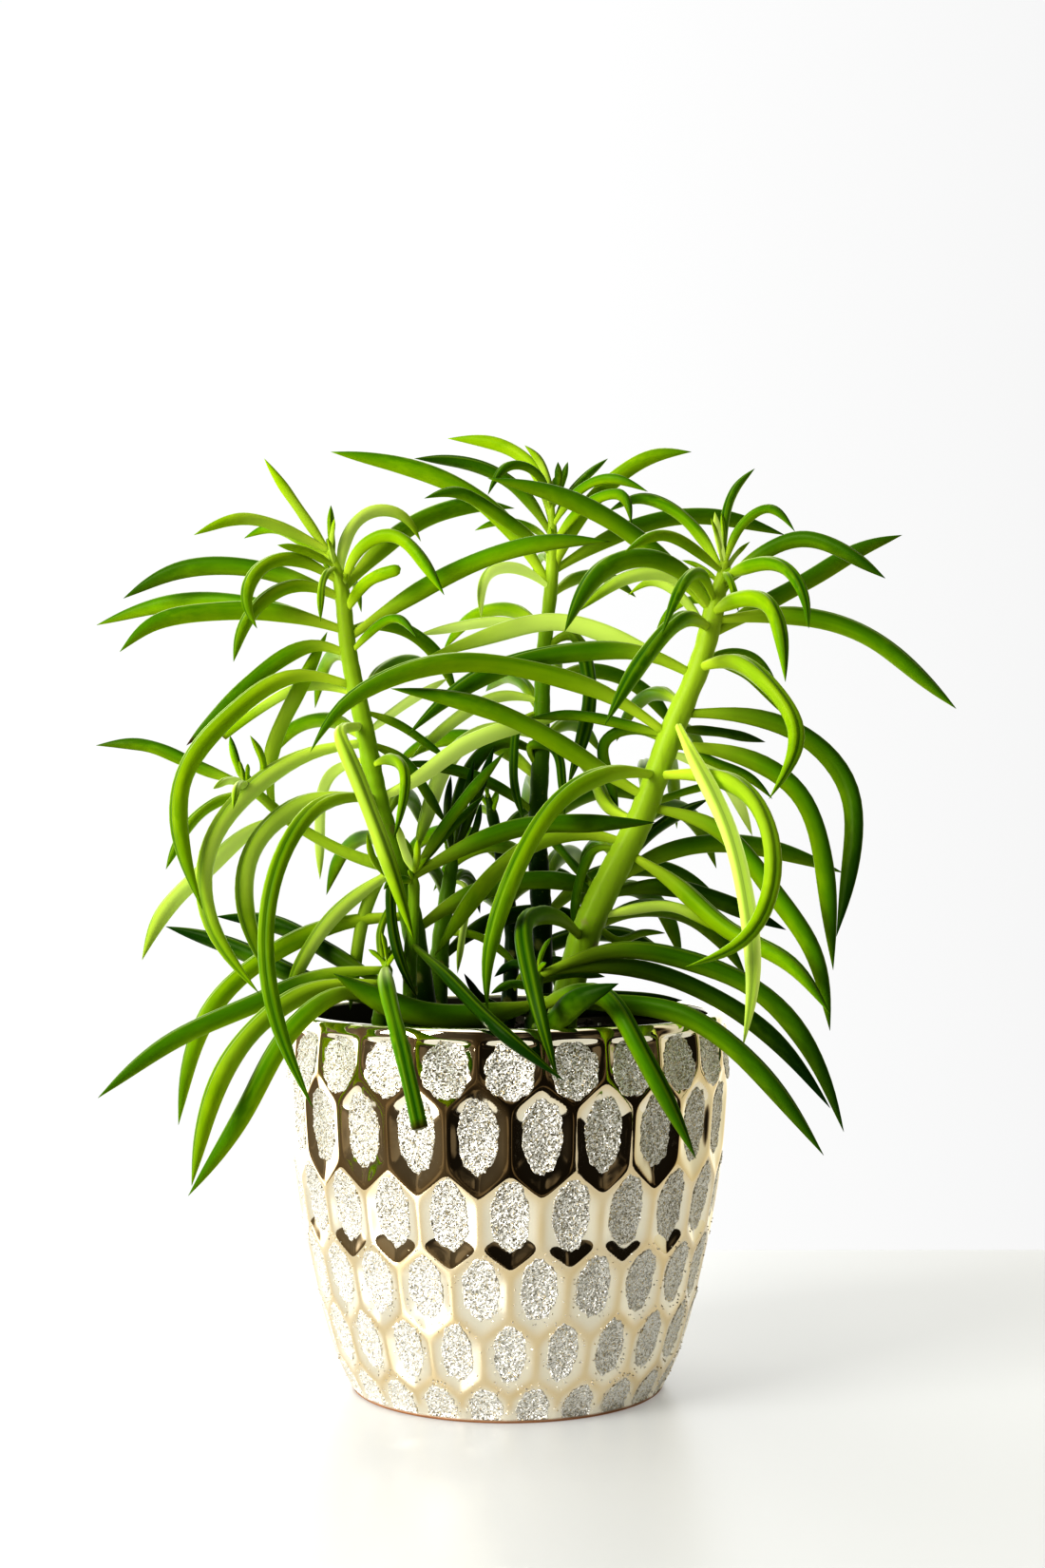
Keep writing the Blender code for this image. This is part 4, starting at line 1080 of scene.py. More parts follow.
@dataclass(frozen=True)
class LeafSkin:
    """Waxy leaf: deep green above, yellow green below and at the stalk, with a dark groove and pale lips,
    partly a painted highlight.

    Bands are of the mark side, 0 at the groove and 1 at the keel, or of the mark along, 0 at the root and 1
    at the tip. The tone lays painted light and painted shade on the colour. A leaf of high tone turns paler
    and gives off light, both painted light for light that comes through it.
    """

    above: Colour = (0.026, 0.105, 0.002)
    flank: Colour = (0.140, 0.320, 0.0010)
    keel: Colour = (0.375, 0.535, 0.006)
    stalk: Colour = (0.520, 0.670, 0.050)
    # Near black green of the groove, also the colour that painted shade darkens towards
    groove: Colour = (0.010, 0.042, 0.001)
    scar: Colour = (0.06, 0.03, 0.008)
    # Paler colour for leaves of high tone: painted light, for light coming through them
    pale: Colour = (0.40, 0.50, 0.11)
    # Painted highlight: pale sheen colour on edges seen at a slant that face up
    painted_sheen_colour: Colour = (0.70, 0.80, 0.42)
    # Painted light: the colour of the light that bright leaves give off, for light coming through them
    painted_glow: Colour = (0.27, 0.33, 0.10)
    gloss: Colour = (1.0, 1.0, 0.7)
    flank_band: Band = (0.2, 0.66)
    keel_band: Band = (0.5, 0.95)
    under_band: Band = (0.12, 0.5)
    groove_band: Band = (0.05, 0.0)
    groove_start: Band = (0.12, 0.3)
    stalk_band: Band = (0.36, 0.03)
    tip_band: Band = (0.55, 1.0)
    tip_darkening: float = 0.7
    streak_end: Band = (1.0, 0.65)
    streak_scale: Triple = (6.0, 2.2, 9.0)
    under_least: float = 0.35
    keel_share: float = 0.8
    keel_waver: float = 0.25
    light_by_tone: float = 0.5
    light_by_cloud: float = 0.3
    light_by_streak: float = 0.9
    light_base: float = 0.1
    dark_by_tone: float = 0.46
    dark_by_streak: float = 0.5
    pale_from: float = 1.0
    pale_gain: float = 0.7
    pale_most: float = 0.85
    stalk_share: float = 0.9
    stalk_fade: float = 0.4
    lip_share: float = 0.25
    groove_share: float = 0.45
    glow_from: float = 1.25
    glow_gain: float = 0.8
    edge_band: Band = (0.5, 0.95)
    upward_band: Band = (0.1, 0.8)
    sheen_base: float = 0.5
    sheen_by_tone: float = 0.35
    sheen_limits: Band = (0.05, 0.7)
    roughness: float = 0.26
    roughness_spread: float = 0.1
    mirror_share: float = 0.04

    def tinted(self, skin: Skin, tone: Signal, under: Signal, cloud: Signal) -> bpy.types.NodeSocket:
        """The leaf's colour before its painted sheen: green by side, then painted light and painted shade by
        tone and place.

        Args:
            skin: the node tree.
            tone: how light the leaf is, mostly painted light and painted shade.
            under: how far the place is under the leaf.
            cloud: a broad noise.

        Returns:
            The colour.
        """
        side, along, lip = skin.mark("side"), skin.mark("along"), skin.mark("lip")
        stretched = [scale * part for scale, part in zip(self.streak_scale, (side, along, tone))]
        lengthwise = skin.node("ShaderNodeCombineXYZ", None, dict(enumerate(stretched)))
        streak = (skin.noise(lengthwise.outputs[0], 1.0, 3.0) - 0.5) * along.step(*self.streak_end)
        at_keel = (side + self.keel_waver * (cloud - 0.5)).step(*self.keel_band)
        # Painted light: a lighter coat by tone, laid mostly under the leaf
        light = self.light_by_tone * tone + self.light_by_cloud * (cloud - 0.5)
        light = (light + self.light_by_streak * streak + self.light_base).within()
        # Painted light: leaves of high tone turn paler
        pale = (self.pale_gain * (tone - self.pale_from)).within(0.0, self.pale_most)
        # Painted shade: leaves of low tone darken towards near black green
        dark = (-self.dark_by_tone * tone - self.dark_by_streak * streak).within()
        # Leaves in painted shade show less of the stalk's lime
        at_stalk = (self.stalk_share + self.stalk_fade * tone.least(0.0)).most(0.0)
        at_groove = self.groove_share * side.step(*self.groove_band) * along.step(*self.groove_start)
        return skin.coats(
            self.above,
            (side.step(*self.flank_band), self.flank),
            (self.keel_share * at_keel, self.keel),
            (under * light, self.keel),
            (under * pale, self.pale),
            (dark, self.groove),
            (at_stalk * along.step(*self.stalk_band), self.stalk),
            # The pale lips are partly the leaf's own colour and partly a painted highlight
            (self.lip_share * lip, self.keel),
            (at_groove, self.groove),
        )

    def material(self) -> bpy.types.Material:
        """Makes the leaves' material, which reads the marks side, along, tone, lip and scar.

        Returns:
            The material.
        """
        skin = Skin("leaf_skin")
        # Painted shade: the tone drops towards the tip
        tone = skin.mark("tone") - self.tip_darkening * skin.mark("along").step(*self.tip_band)
        under = self.under_least + (1 - self.under_least) * skin.mark("side").step(*self.under_band)
        cloud = skin.noise(skin.places, 140.0, 3.0)
        colour = self.tinted(skin, tone, under, cloud)
        # Painted highlight: a pale sheen on upward edges that turn from the view
        turned = skin.node("ShaderNodeLayerWeight", None, {"Blend": 0.5}).outputs["Facing"]
        edge = Signal(skin, turned).step(*self.edge_band)
        upward = skin.parts(skin.normal())[2].step(*self.upward_band)
        sheen = (self.sheen_base + self.sheen_by_tone * tone).within(*self.sheen_limits) * edge * upward
        # Painted light: leaves of high tone give off light, for light coming through them
        painted_glow = under * (self.glow_gain * (tone - self.glow_from)).within()
        return skin.finish(
            Base_Color=skin.coats(colour, (sheen, self.painted_sheen_colour), (skin.mark("scar"), self.scar)),
            Roughness=self.roughness + self.roughness_spread * cloud,
            Specular_IOR_Level=self.mirror_share,
            Specular_Tint=self.gloss,
            Emission_Color=skin.blend(painted_glow, (0.0, 0.0, 0.0), self.painted_glow),
            Emission_Strength=1.0,
        )


@dataclass(frozen=True)
class StemSkin:
    """Lime green stem, near black green where painted shade darkens it, with faint streaks and leaf scars."""

    plain: Colour = (0.16, 0.31, 0.003)
    lime: Colour = (0.39, 0.545, 0.032)
    # Near black green of the streaks, also used for painted shade
    dark: Colour = (0.010, 0.040, 0.001)
    scar: Colour = (0.30, 0.30, 0.09)
    streak_stretch: Triple = (1.0, 1.0, 0.12)
    streak_band: Band = (0.5, 0.8)
    streak_share: float = 0.35
    speck_band: Band = (0.62, 0.75)
    speck_share: float = 0.4
    dark_gain: float = 0.7
    scar_share: float = 0.8
    roughness: float = 0.34
    roughness_spread: float = 0.16
    mirror_share: float = 0.12
    grain_mm: float = 0.08

    def material(self) -> bpy.types.Material:
        """Makes the stems' material. It reads the marks tone, of about -2 to 1.6, and scar.

        Returns:
            The material.
        """
        skin = Skin("stem_skin")
        tone, scar = skin.mark("tone"), skin.mark("scar")
        streak = skin.noise(skin.vector("MULTIPLY", skin.places, self.streak_stretch), 300.0, 3.0)
        speck = skin.noise(skin.places, 1200.0)
        colour = skin.coats(
            self.plain,
            # Painted light and painted shade by the tone mark: lime where it is high, near black green where
            # it is low
            (tone.within(), self.lime),
            ((-self.dark_gain * tone).within(), self.dark),
            (self.streak_share * streak.step(*self.streak_band), self.dark),
            (self.speck_share * speck.step(*self.speck_band), self.scar),
            (self.scar_share * scar, self.scar),
        )
        return skin.finish(
            Base_Color=colour,
            Roughness=self.roughness + self.roughness_spread * speck,
            Normal=skin.bump(0.6 * streak + 0.4 * speck, self.grain_mm),
            Specular_IOR_Level=self.mirror_share,
        )


@dataclass(frozen=True)
class PottingSoil:
    """Damp dark potting soil with paler crumbs."""

    damp: Colour = (0.018, 0.011, 0.007)
    dry: Colour = (0.075, 0.048, 0.028)
    crumb: Colour = (0.55, 0.53, 0.48)
    dry_band: Band = (0.4, 0.72)
    grit_mm: float = 0.35
    roughness: float = 0.72
    roughness_spread: float = 0.25

    def material(self) -> bpy.types.Material:
        """Makes the soil's material, which reads the mark crumb, 1 on the pale crumbs.

        Returns:
            The material.
        """
        skin = Skin("potting_soil")
        cloud, grit = skin.noise(skin.places, 220.0, 4.0, 0.6), skin.noise(skin.places, 2400.0, 3.0, 0.7)
        dry = (0.6 * cloud + 0.4 * grit).step(*self.dry_band)
        return skin.finish(
            Base_Color=skin.coats(self.damp, (dry, self.dry), (skin.mark("crumb"), self.crumb)),
            Roughness=self.roughness + self.roughness_spread * grit,
            Normal=skin.bump(grit, self.grit_mm),
        )


@dataclass
class DimpledPot:
    """The pot as one closed surface, and the glitter pads in its dimples. Sizes in mm."""

    height: float = 110.2
    outline: Points = ((0.0, 45.8), (9.0, 50.2), (33.0, 57.1), (61.0, 62.7), (86.0, 65.2), (103.0, 65.2),
                       (110.2, 64.2))
    wall: float = 5.0
    floor_up: float = 6.0
    floor_round: float = 3.0
    floor_shares: Triple = (0.75, 0.45, 0.15)
    foot_round: float = 0.6
    foot_rings: int = 3
    under_shares: Triple = (0.2, 0.6, 0.97)
    lip_round: float = 1.1
    bend_rings: int = 5
    inner_rings: int = 22
    band_bottom: float = 107.3
    band_blend: float = 1.6
    foot_blend: Band = (0.3, 2.2)
    cells_around: int = 23
    first_turn: float = math.radians(1.0)
    middle_row_up: float = 59.6
    row_pitch: float = 0.345
    cell_stretch: float = 0.866
    cell_drop: Points = ((0.0, 0.8), (12.0, 1.1), (30.0, 2.0), (50.0, 2.5), (70.0, 2.7), (86.0, 0.2),
                         (110.2, 0.0))
    dimple_depth: float = 1.9
    low_share: float = 0.74
    low_heights: Band = (32.0, 46.0)
    bowl_power: float = 2.5
    ridge_round: float = 0.05
    ridge_mark: float = 0.09
    ridge_blend: Band = (2.0, 6.0)
    corner_softness: float = 26.0
    waviness: float = 0.05
    wave_length: float = 16.0
    wave_foot: Band = (0.5, 3.0)
    wave_top: Band = (104.0, 107.0)
    columns: int = 460
    rows: int = 150
    clay_line: float = 0.7
    lay_seed: int = 7
    pad_grid: tuple[int, int] = (31, 17)
    pad_raggedness: float = 0.035
    pad_waves: Points = ((3, 1.0), (7, 1.0), (13, 0.7))
    pad_border: Band = (0.9, 1.0)
    pad_margins: Band = (0.4, 0.2)
    pad_grain: float = 0.3
    grain_aside: float = 0.55
    grain_rise: float = 0.5
    pad_lift: float = 0.25
    pad_sink: float = 1.1
    pad_root: float = -2.0
    strays: int = 20
    stray_size: float = 0.26
    stray_sizes: Band = (0.6, 1.2)
    stray_lifts: Band = (-0.2, 0.22)
    stray_spread: float = 0.15
    stray_margin: float = 0.5
    top_stray_row: int = -1

    # Pads of each row, from the foot up: row, width, height and the height of its middle above the table
    pads: Points = ((-3, 10.2, 14.0, 4.0), (-2, 9.8, 18.0, 20.9), (-1, 11.4, 19.0, 39.1),
                    (0, 11.9, 21.4, 59.6), (1, 12.4, 22.4, 81.4), (2, 15.0, 17.0, 99.0))

    def __post_init__(self) -> None:
        """Tabulates the outline by height: radius, and the run along it divided by the radius."""
        rows = smooth_path([(up, radius) for up, radius in self.outline], np.linspace(0, 1, 400))
        self._ups = np.linspace(0, self.height, 1200)
        self._radii = np.interp(self._ups, rows[:, 0], rows[:, 1])
        steps = np.hypot(np.diff(self._ups), np.diff(self._radii)) / self._radii[1:]
        self._runs = np.concatenate([[0.0], np.cumsum(steps)])

    def radius(self, up: Array) -> Array:
        """Radius of the plain outline at a height."""
        return np.interp(up, self._ups, self._radii)

    def row_at(self, up: Array) -> Array:
        """Rows of dimples at a height. The pitch of rows grows with the radius.

        Args:
            up: heights.

        Returns:
            Row numbers, counted from the middle row.
        """
        drop = np.array(self.cell_drop)
        run = np.interp(up + np.interp(up, drop[:, 0], drop[:, 1]), self._ups, self._runs)
        return (run - np.interp(self.middle_row_up, self._ups, self._runs)) / self.row_pitch

    def inward(self, angle: Array, up: Array) -> Array:
        """How far inside its cell a place on the wall is.

        Dimple centres lie on a staggered lattice. With d the distance to a centre in cell widths, it is
        e = -ln(sum over the other centres of exp(-k(d_other^2 - d_nearest^2)/2)) / k, not less than nought.

        Args:
            angle: angles about the axis.
            up: heights.

        Returns:
            Shares, nought on a ridge and a half in a dimple's middle.
        """
        across = (angle + math.pi / 2 - self.first_turn) / FULL_TURN * self.cells_around
        row = self.row_at(up)
        squares = []
        for row_step in (-1, 0, 1, 2):
            centre_row = np.floor(row) + row_step
            shift = 0.5 * (np.abs(centre_row) % 2)
            base = np.round(across - shift) + shift
            off_row = (row - centre_row) * self.cell_stretch
            squares += [(across - base - column_step) ** 2 + off_row**2 for column_step in (-1, 0, 1)]
        squares = np.sort(np.stack(squares), axis=0)
        others = np.exp(-0.5 * self.corner_softness * (squares[1:] - squares[0])).sum(0)
        return np.maximum(-np.log(others) / self.corner_softness, 0.0)

    def relief(self, angle: Array, up: Array) -> Array:
        """How far the wall stands below its plain outline.

        A dimple is the bowl depth * (1 - (1 - 2e)^power), where e is the share inward, rounded off at the
        ridge. It fades out at the foot and under the rim band, and is shallower low on the pot.

        Args:
            angle: angles about the axis.
            up: heights.

        Returns:
            Depths in mm.
        """
        edge = np.sqrt(self.inward(angle, up) ** 2 + self.ridge_round**2) - self.ridge_round
        bowl = 1 - (1 - np.clip(2 * edge, 0, 1)) ** self.bowl_power
        fade = 1 - smooth_step(self.band_bottom - self.band_blend, self.band_bottom, up)
        low = np.interp(up, self.low_heights, (self.low_share, 1.0))
        return self.dimple_depth * bowl * (fade * smooth_step(*self.foot_blend, up) * low)

    def wall_places(self, angle: Array, up: Array, lift: Array | float = 0.0) -> Array:
        """Points of the outer wall with its relief, lifted this far off it, from angle and height."""
        radius = self.radius(up) - self.relief(angle, up) + lift
        return np.stack([radius * np.cos(angle), radius * np.sin(angle), up + 0 * angle], axis=-1)

    def _profile(self) -> tuple[Array, Array, Array]:
        """The plain rings over the lip and down to the floor's middle.

        Returns:
            Their heights, radii and inside marks.
        """
        turns = np.linspace(0, math.pi / 2, self.bend_rings + 1)[1:]
        fall, reach = 1 - np.sin(turns), 1 - np.cos(turns)
        top, lip = self.radius(self.height), self.lip_round
        lip_out = np.stack([self.height - lip * fall, top - lip + lip * np.cos(turns)], axis=1)
        lip_in = np.stack([self.height - lip * reach, top - self.wall + lip - lip * np.sin(turns)], axis=1)
        inner_up = np.linspace(self.height - 2 * lip, self.floor_up + self.floor_round, self.inner_rings)
        inner = np.stack([inner_up, self.radius(inner_up) - self.wall], axis=1)
        corner = inner[-1, 1] - self.floor_round
        bend = np.stack([self.floor_up + self.floor_round * fall,
                         corner + self.floor_round * np.cos(turns)], axis=1)
        floor = np.array([(self.floor_up, share * corner) for share in self.floor_shares])
        rings = np.concatenate([lip_out, lip_in, inner, bend, floor])
        inside = np.interp(np.arange(len(rings)), (len(turns), 2 * len(turns) - 1), (0.0, 1.0))
        return rings[:, 0], rings[:, 1], inside

    def wall_object(self) -> bpy.types.Object:
        """The pot: foot, dimpled wall, lip, inner wall and floor as one closed tube of rings.

        Returns:
            The object.
        """
        angle, outward = outward_ways(self.columns)
        foot_turns = np.linspace(0, math.pi / 2, self.foot_rings + 1)[:-1]
        foot_up = self.foot_round * (1 - np.cos(foot_turns))
        foot_radius = self.radius(foot_up) - self.foot_round * (1 - np.sin(foot_turns))
        ups = np.linspace(self.foot_round, self.height - self.lip_round, self.rows)
        wall = self.wall_places(angle[None, :], ups[:, None])
        waves = self.waviness * soft_noise(wall, self.wave_length, self.lay_seed)
        steady = smooth_step(*self.wave_foot, ups) * (1 - smooth_step(*self.wave_top, ups))
        wall = wall + (waves * steady[:, None])[..., None] * outward[None]
        top_up, top_radius, inside = self._profile()
        plain_up = np.concatenate([np.zeros(len(self.under_shares)), foot_up])
        plain_radius = np.concatenate([np.array(self.under_shares) * foot_radius[0], foot_radius])
        points = np.concatenate([round_rings(outward, plain_radius, plain_up), wall,
                                 round_rings(outward, top_radius, top_up)])
        count = len(plain_up) + len(ups)
        inside = np.concatenate([np.zeros(count), inside])
        foot = (np.concatenate([plain_up, ups, top_up]) < self.clay_line) & (inside == 0)
        ridge = np.zeros(points.shape[:2])
        wall_ridge = np.exp(-((self.inward(angle[None, :], ups[:, None]) / self.ridge_mark) ** 2))
        ridge[len(plain_up):count] = wall_ridge * smooth_step(*self.ridge_blend, ups)[:, None]
        shell = Shell("inside", "foot", "ridge")
        shell.add_tube(points, inside=inside[:, None], foot=foot[:, None].astype(float), ridge=ridge)
        return shell.build("pot_wall")

    def glitter_object(self) -> bpy.types.Object:
        """Every glitter pad: a ragged oval sheet of jagged grains, its border sunk into the glaze.

        A square grid becomes a disc by x = u sqrt(1 - v^2/2), y = v sqrt(1 - u^2/2), and the disc an oval on
        the wall. Each point then gets a random lift and a random step aside.

        Returns:
            The object.
        """
        draw = np.random.default_rng(self.lay_seed)
        rows, columns = self.pad_grid
        v, u = np.meshgrid(np.linspace(-1, 1, rows), np.linspace(-1, 1, columns), indexing="ij")
        disc_x, disc_y = u * np.sqrt(1 - v**2 / 2), v * np.sqrt(1 - u**2 / 2)
        reach, turn = np.hypot(disc_x, disc_y), np.arctan2(disc_y, disc_x)
        sink = self.pad_sink * smooth_step(*self.pad_border, reach)
        lowest, highest = self.clay_line + self.pad_margins[0], self.band_bottom - self.pad_margins[1]
        shell = Shell()
        for row, width, height, middle_up in self.pads:
            for cell in range(self.cells_around):
                centre = (cell + 0.5 * (abs(row) % 2)) / self.cells_around * FULL_TURN
                centre += self.first_turn - math.pi / 2
                phases = draw.uniform(0, FULL_TURN, len(self.pad_waves))
                waves = sum(weight * np.sin(count * turn + phase)
                            for (count, weight), phase in zip(self.pad_waves, phases))
                ragged = 1 + self.pad_raggedness * waves * reach**2
                jitter = draw.uniform(-1, 1, (3, rows, columns)) * self.pad_grain
                across = disc_x * ragged * width / 2 + self.grain_aside * jitter[0]
                up = middle_up + disc_y * ragged * height / 2 + self.grain_aside * jitter[1]
                up = np.clip(up, lowest, highest)
                lift = self.pad_lift + self.grain_rise * jitter[2] - sink
                grid = self.wall_places(centre + across / self.radius(up), up, lift)
                root = self.wall_places(np.array(centre), np.array(max(middle_up, 2.0)), self.pad_root)
                shell.add_pad(grid, root)
                if row <= self.top_stray_row:
                    self.add_strays(shell, centre, middle_up, (width / 2, height / 2), draw)
        return shell.build("pot_glitter", smooth=False)

    def add_strays(self, shell: Shell, centre: float, middle_up: float, half: tuple[float, float],
                   draw: np.random.Generator) -> None:
        """Single grains that lie on the glaze around a pad, as small three-sided stumps.

        Args:
            shell: what they are added to.
            centre: the angle of the pad's middle.
            middle_up: the height of the pad's middle.
            half: half the pad's width and half its height.
            draw: the random numbers.
        """
        turns = draw.uniform(0, FULL_TURN, self.strays)
        reaches = 1.0 + np.abs(draw.normal(0, self.stray_spread, self.strays))
        angle = centre + reaches * np.cos(turns) * half[0] / self.radius(np.array(middle_up))
        up = middle_up + reaches * np.sin(turns) * half[1]
        keep = (up > self.clay_line + self.stray_margin) & (up < self.band_bottom - self.stray_margin)
        lifts = np.array(self.stray_lifts)[:, None]
        for grain_angle, grain_up in zip(angle[keep], up[keep]):
            corners = draw.uniform(0, FULL_TURN) + np.arange(3) * FULL_TURN / 3
            size = self.stray_size * draw.uniform(*self.stray_sizes)
            ring_angle = grain_angle + size * np.cos(corners) / self.radius(grain_up)
            ring_up = grain_up + size * np.sin(corners)
            shell.add_tube(self.wall_places(np.tile(ring_angle, (2, 1)), np.tile(ring_up, (2, 1)), lifts))

    def build(self) -> None:
        """Makes the pot and its glitter, and hangs them on the frame."""
        wall, glitter = self.wall_object(), self.glitter_object()
        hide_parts("pot")
        hang(wall, GoldGlaze().material(), Slot.GLAZE)
        hang(glitter, SilverGlitter().material(), Slot.GLAZE)


@dataclass
class SoilBed:
    """The soil: a plug with a lumpy top, and loose crumbs on it. Sizes in mm."""

    up: float = 101.4
    gap: float = 0.35
    waves: Points = ((0.8, 38.0, 14), (0.9, 9.0, 14), (0.4, 3.0, 24))
    rings: int = 60
    columns: int = 180
    side_rings: int = 12
    side_drop: float = 2.0
    middle_share: float = 0.02
    bottom_share: float = 0.2
    bottom_round: float = 4.0
    crumbs: int = 1100
    crumb_margin: float = 2.5
    crumb_sizes: Band = (0.45, 1.5)
    crumb_flatness: Band = (0.6, 1.0)
    crumb_waists: Triple = (0.62, 1.0, 0.7)
    crumb_levels: Triple = (-0.75, -0.1, 0.65)
    crumb_sides: int = 6
    crumb_roughness: float = 0.25
    crumb_rise: float = 0.35
    pale_share: float = 0.06
    seed: int = 11

    def top_height(self, places: Array) -> Array:
        """The soil's top: broad waves, lumps and fine grit.

        Args:
            places: rows of (x, y, z), whose z isn't read.

        Returns:
            Heights.
        """
        flat = places * np.array([1, 1, 0])
        return self.up + sum(height * soft_noise(flat, size, self.seed + number, count)
                             for number, (height, size, count) in enumerate(self.waves))

    def plug_object(self, pot: DimpledPot) -> bpy.types.Object:
        """The plug, from its bottom centre out, up the pot's inner wall and in over its lumpy top.

        Args:
            pot: the pot that it lies in.

        Returns:
            The object.
        """
        outward = outward_ways(self.columns)[1]
        bottom = pot.floor_up + self.gap
        side_up = np.linspace(bottom + self.bottom_round, self.up - self.side_drop, self.side_rings)
        side_radius = pot.radius(side_up) - pot.wall - self.gap
        edge = pot.radius(self.up) - pot.wall - self.gap
        heights = np.concatenate([[bottom, bottom], side_up])
        lowest = [self.bottom_share * side_radius[0], side_radius[0] - self.bottom_round]
        radii = np.concatenate([lowest, side_radius])
        top = np.linspace(1.0, self.middle_share, self.rings)[:, None, None] * edge * outward
        top[..., 2] = self.top_height(top)
        shell = Shell("crumb")
        shell.add_tube(np.concatenate([round_rings(outward, radii, heights), top]))
        return shell.build("soil_plug")

    def crumb_object(self, pot: DimpledPot) -> bpy.types.Object:
        """Loose crumbs: small rough lumps of six sides in three rings, at seeded places on the top.

        Args:
            pot: the pot that it lies in.

        Returns:
            The object.
        """
        draw = np.random.default_rng(self.seed)
        edge = pot.radius(self.up) - pot.wall - self.crumb_margin
        lump = round_rings(outward_ways(self.crumb_sides)[1], np.array(self.crumb_waists),
                           np.array(self.crumb_levels))
        shell = Shell("crumb")
        for _ in range(self.crumbs):
            turn, reach = draw.uniform(0, FULL_TURN), edge * math.sqrt(draw.uniform(0, 1))
            size = draw.uniform(*self.crumb_sizes) * draw.uniform(*self.crumb_flatness, 3)
            rough = 1 + draw.uniform(-self.crumb_roughness, self.crumb_roughness, (*lump.shape[:2], 1))
            place = np.array([reach * math.cos(turn), reach * math.sin(turn), 0.0])
            place[2] = self.top_height(place[None])[0] + self.crumb_rise * size[2]
            shell.add_tube(lump * rough * size + place, crumb=float(draw.uniform() < self.pale_share))
        return shell.build("soil_crumbs", smooth=False)

    def build(self, pot: DimpledPot) -> None:
        """Makes the soil and its crumbs, and hangs them on the frame.

        Args:
            pot: the pot that it lies in.
        """
        plug, crumbs = self.plug_object(pot), self.crumb_object(pot)
        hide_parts("soil")
        skin = PottingSoil().material()
        for piece in (plug, crumbs):
            hang(piece, skin, Slot.SOIL)


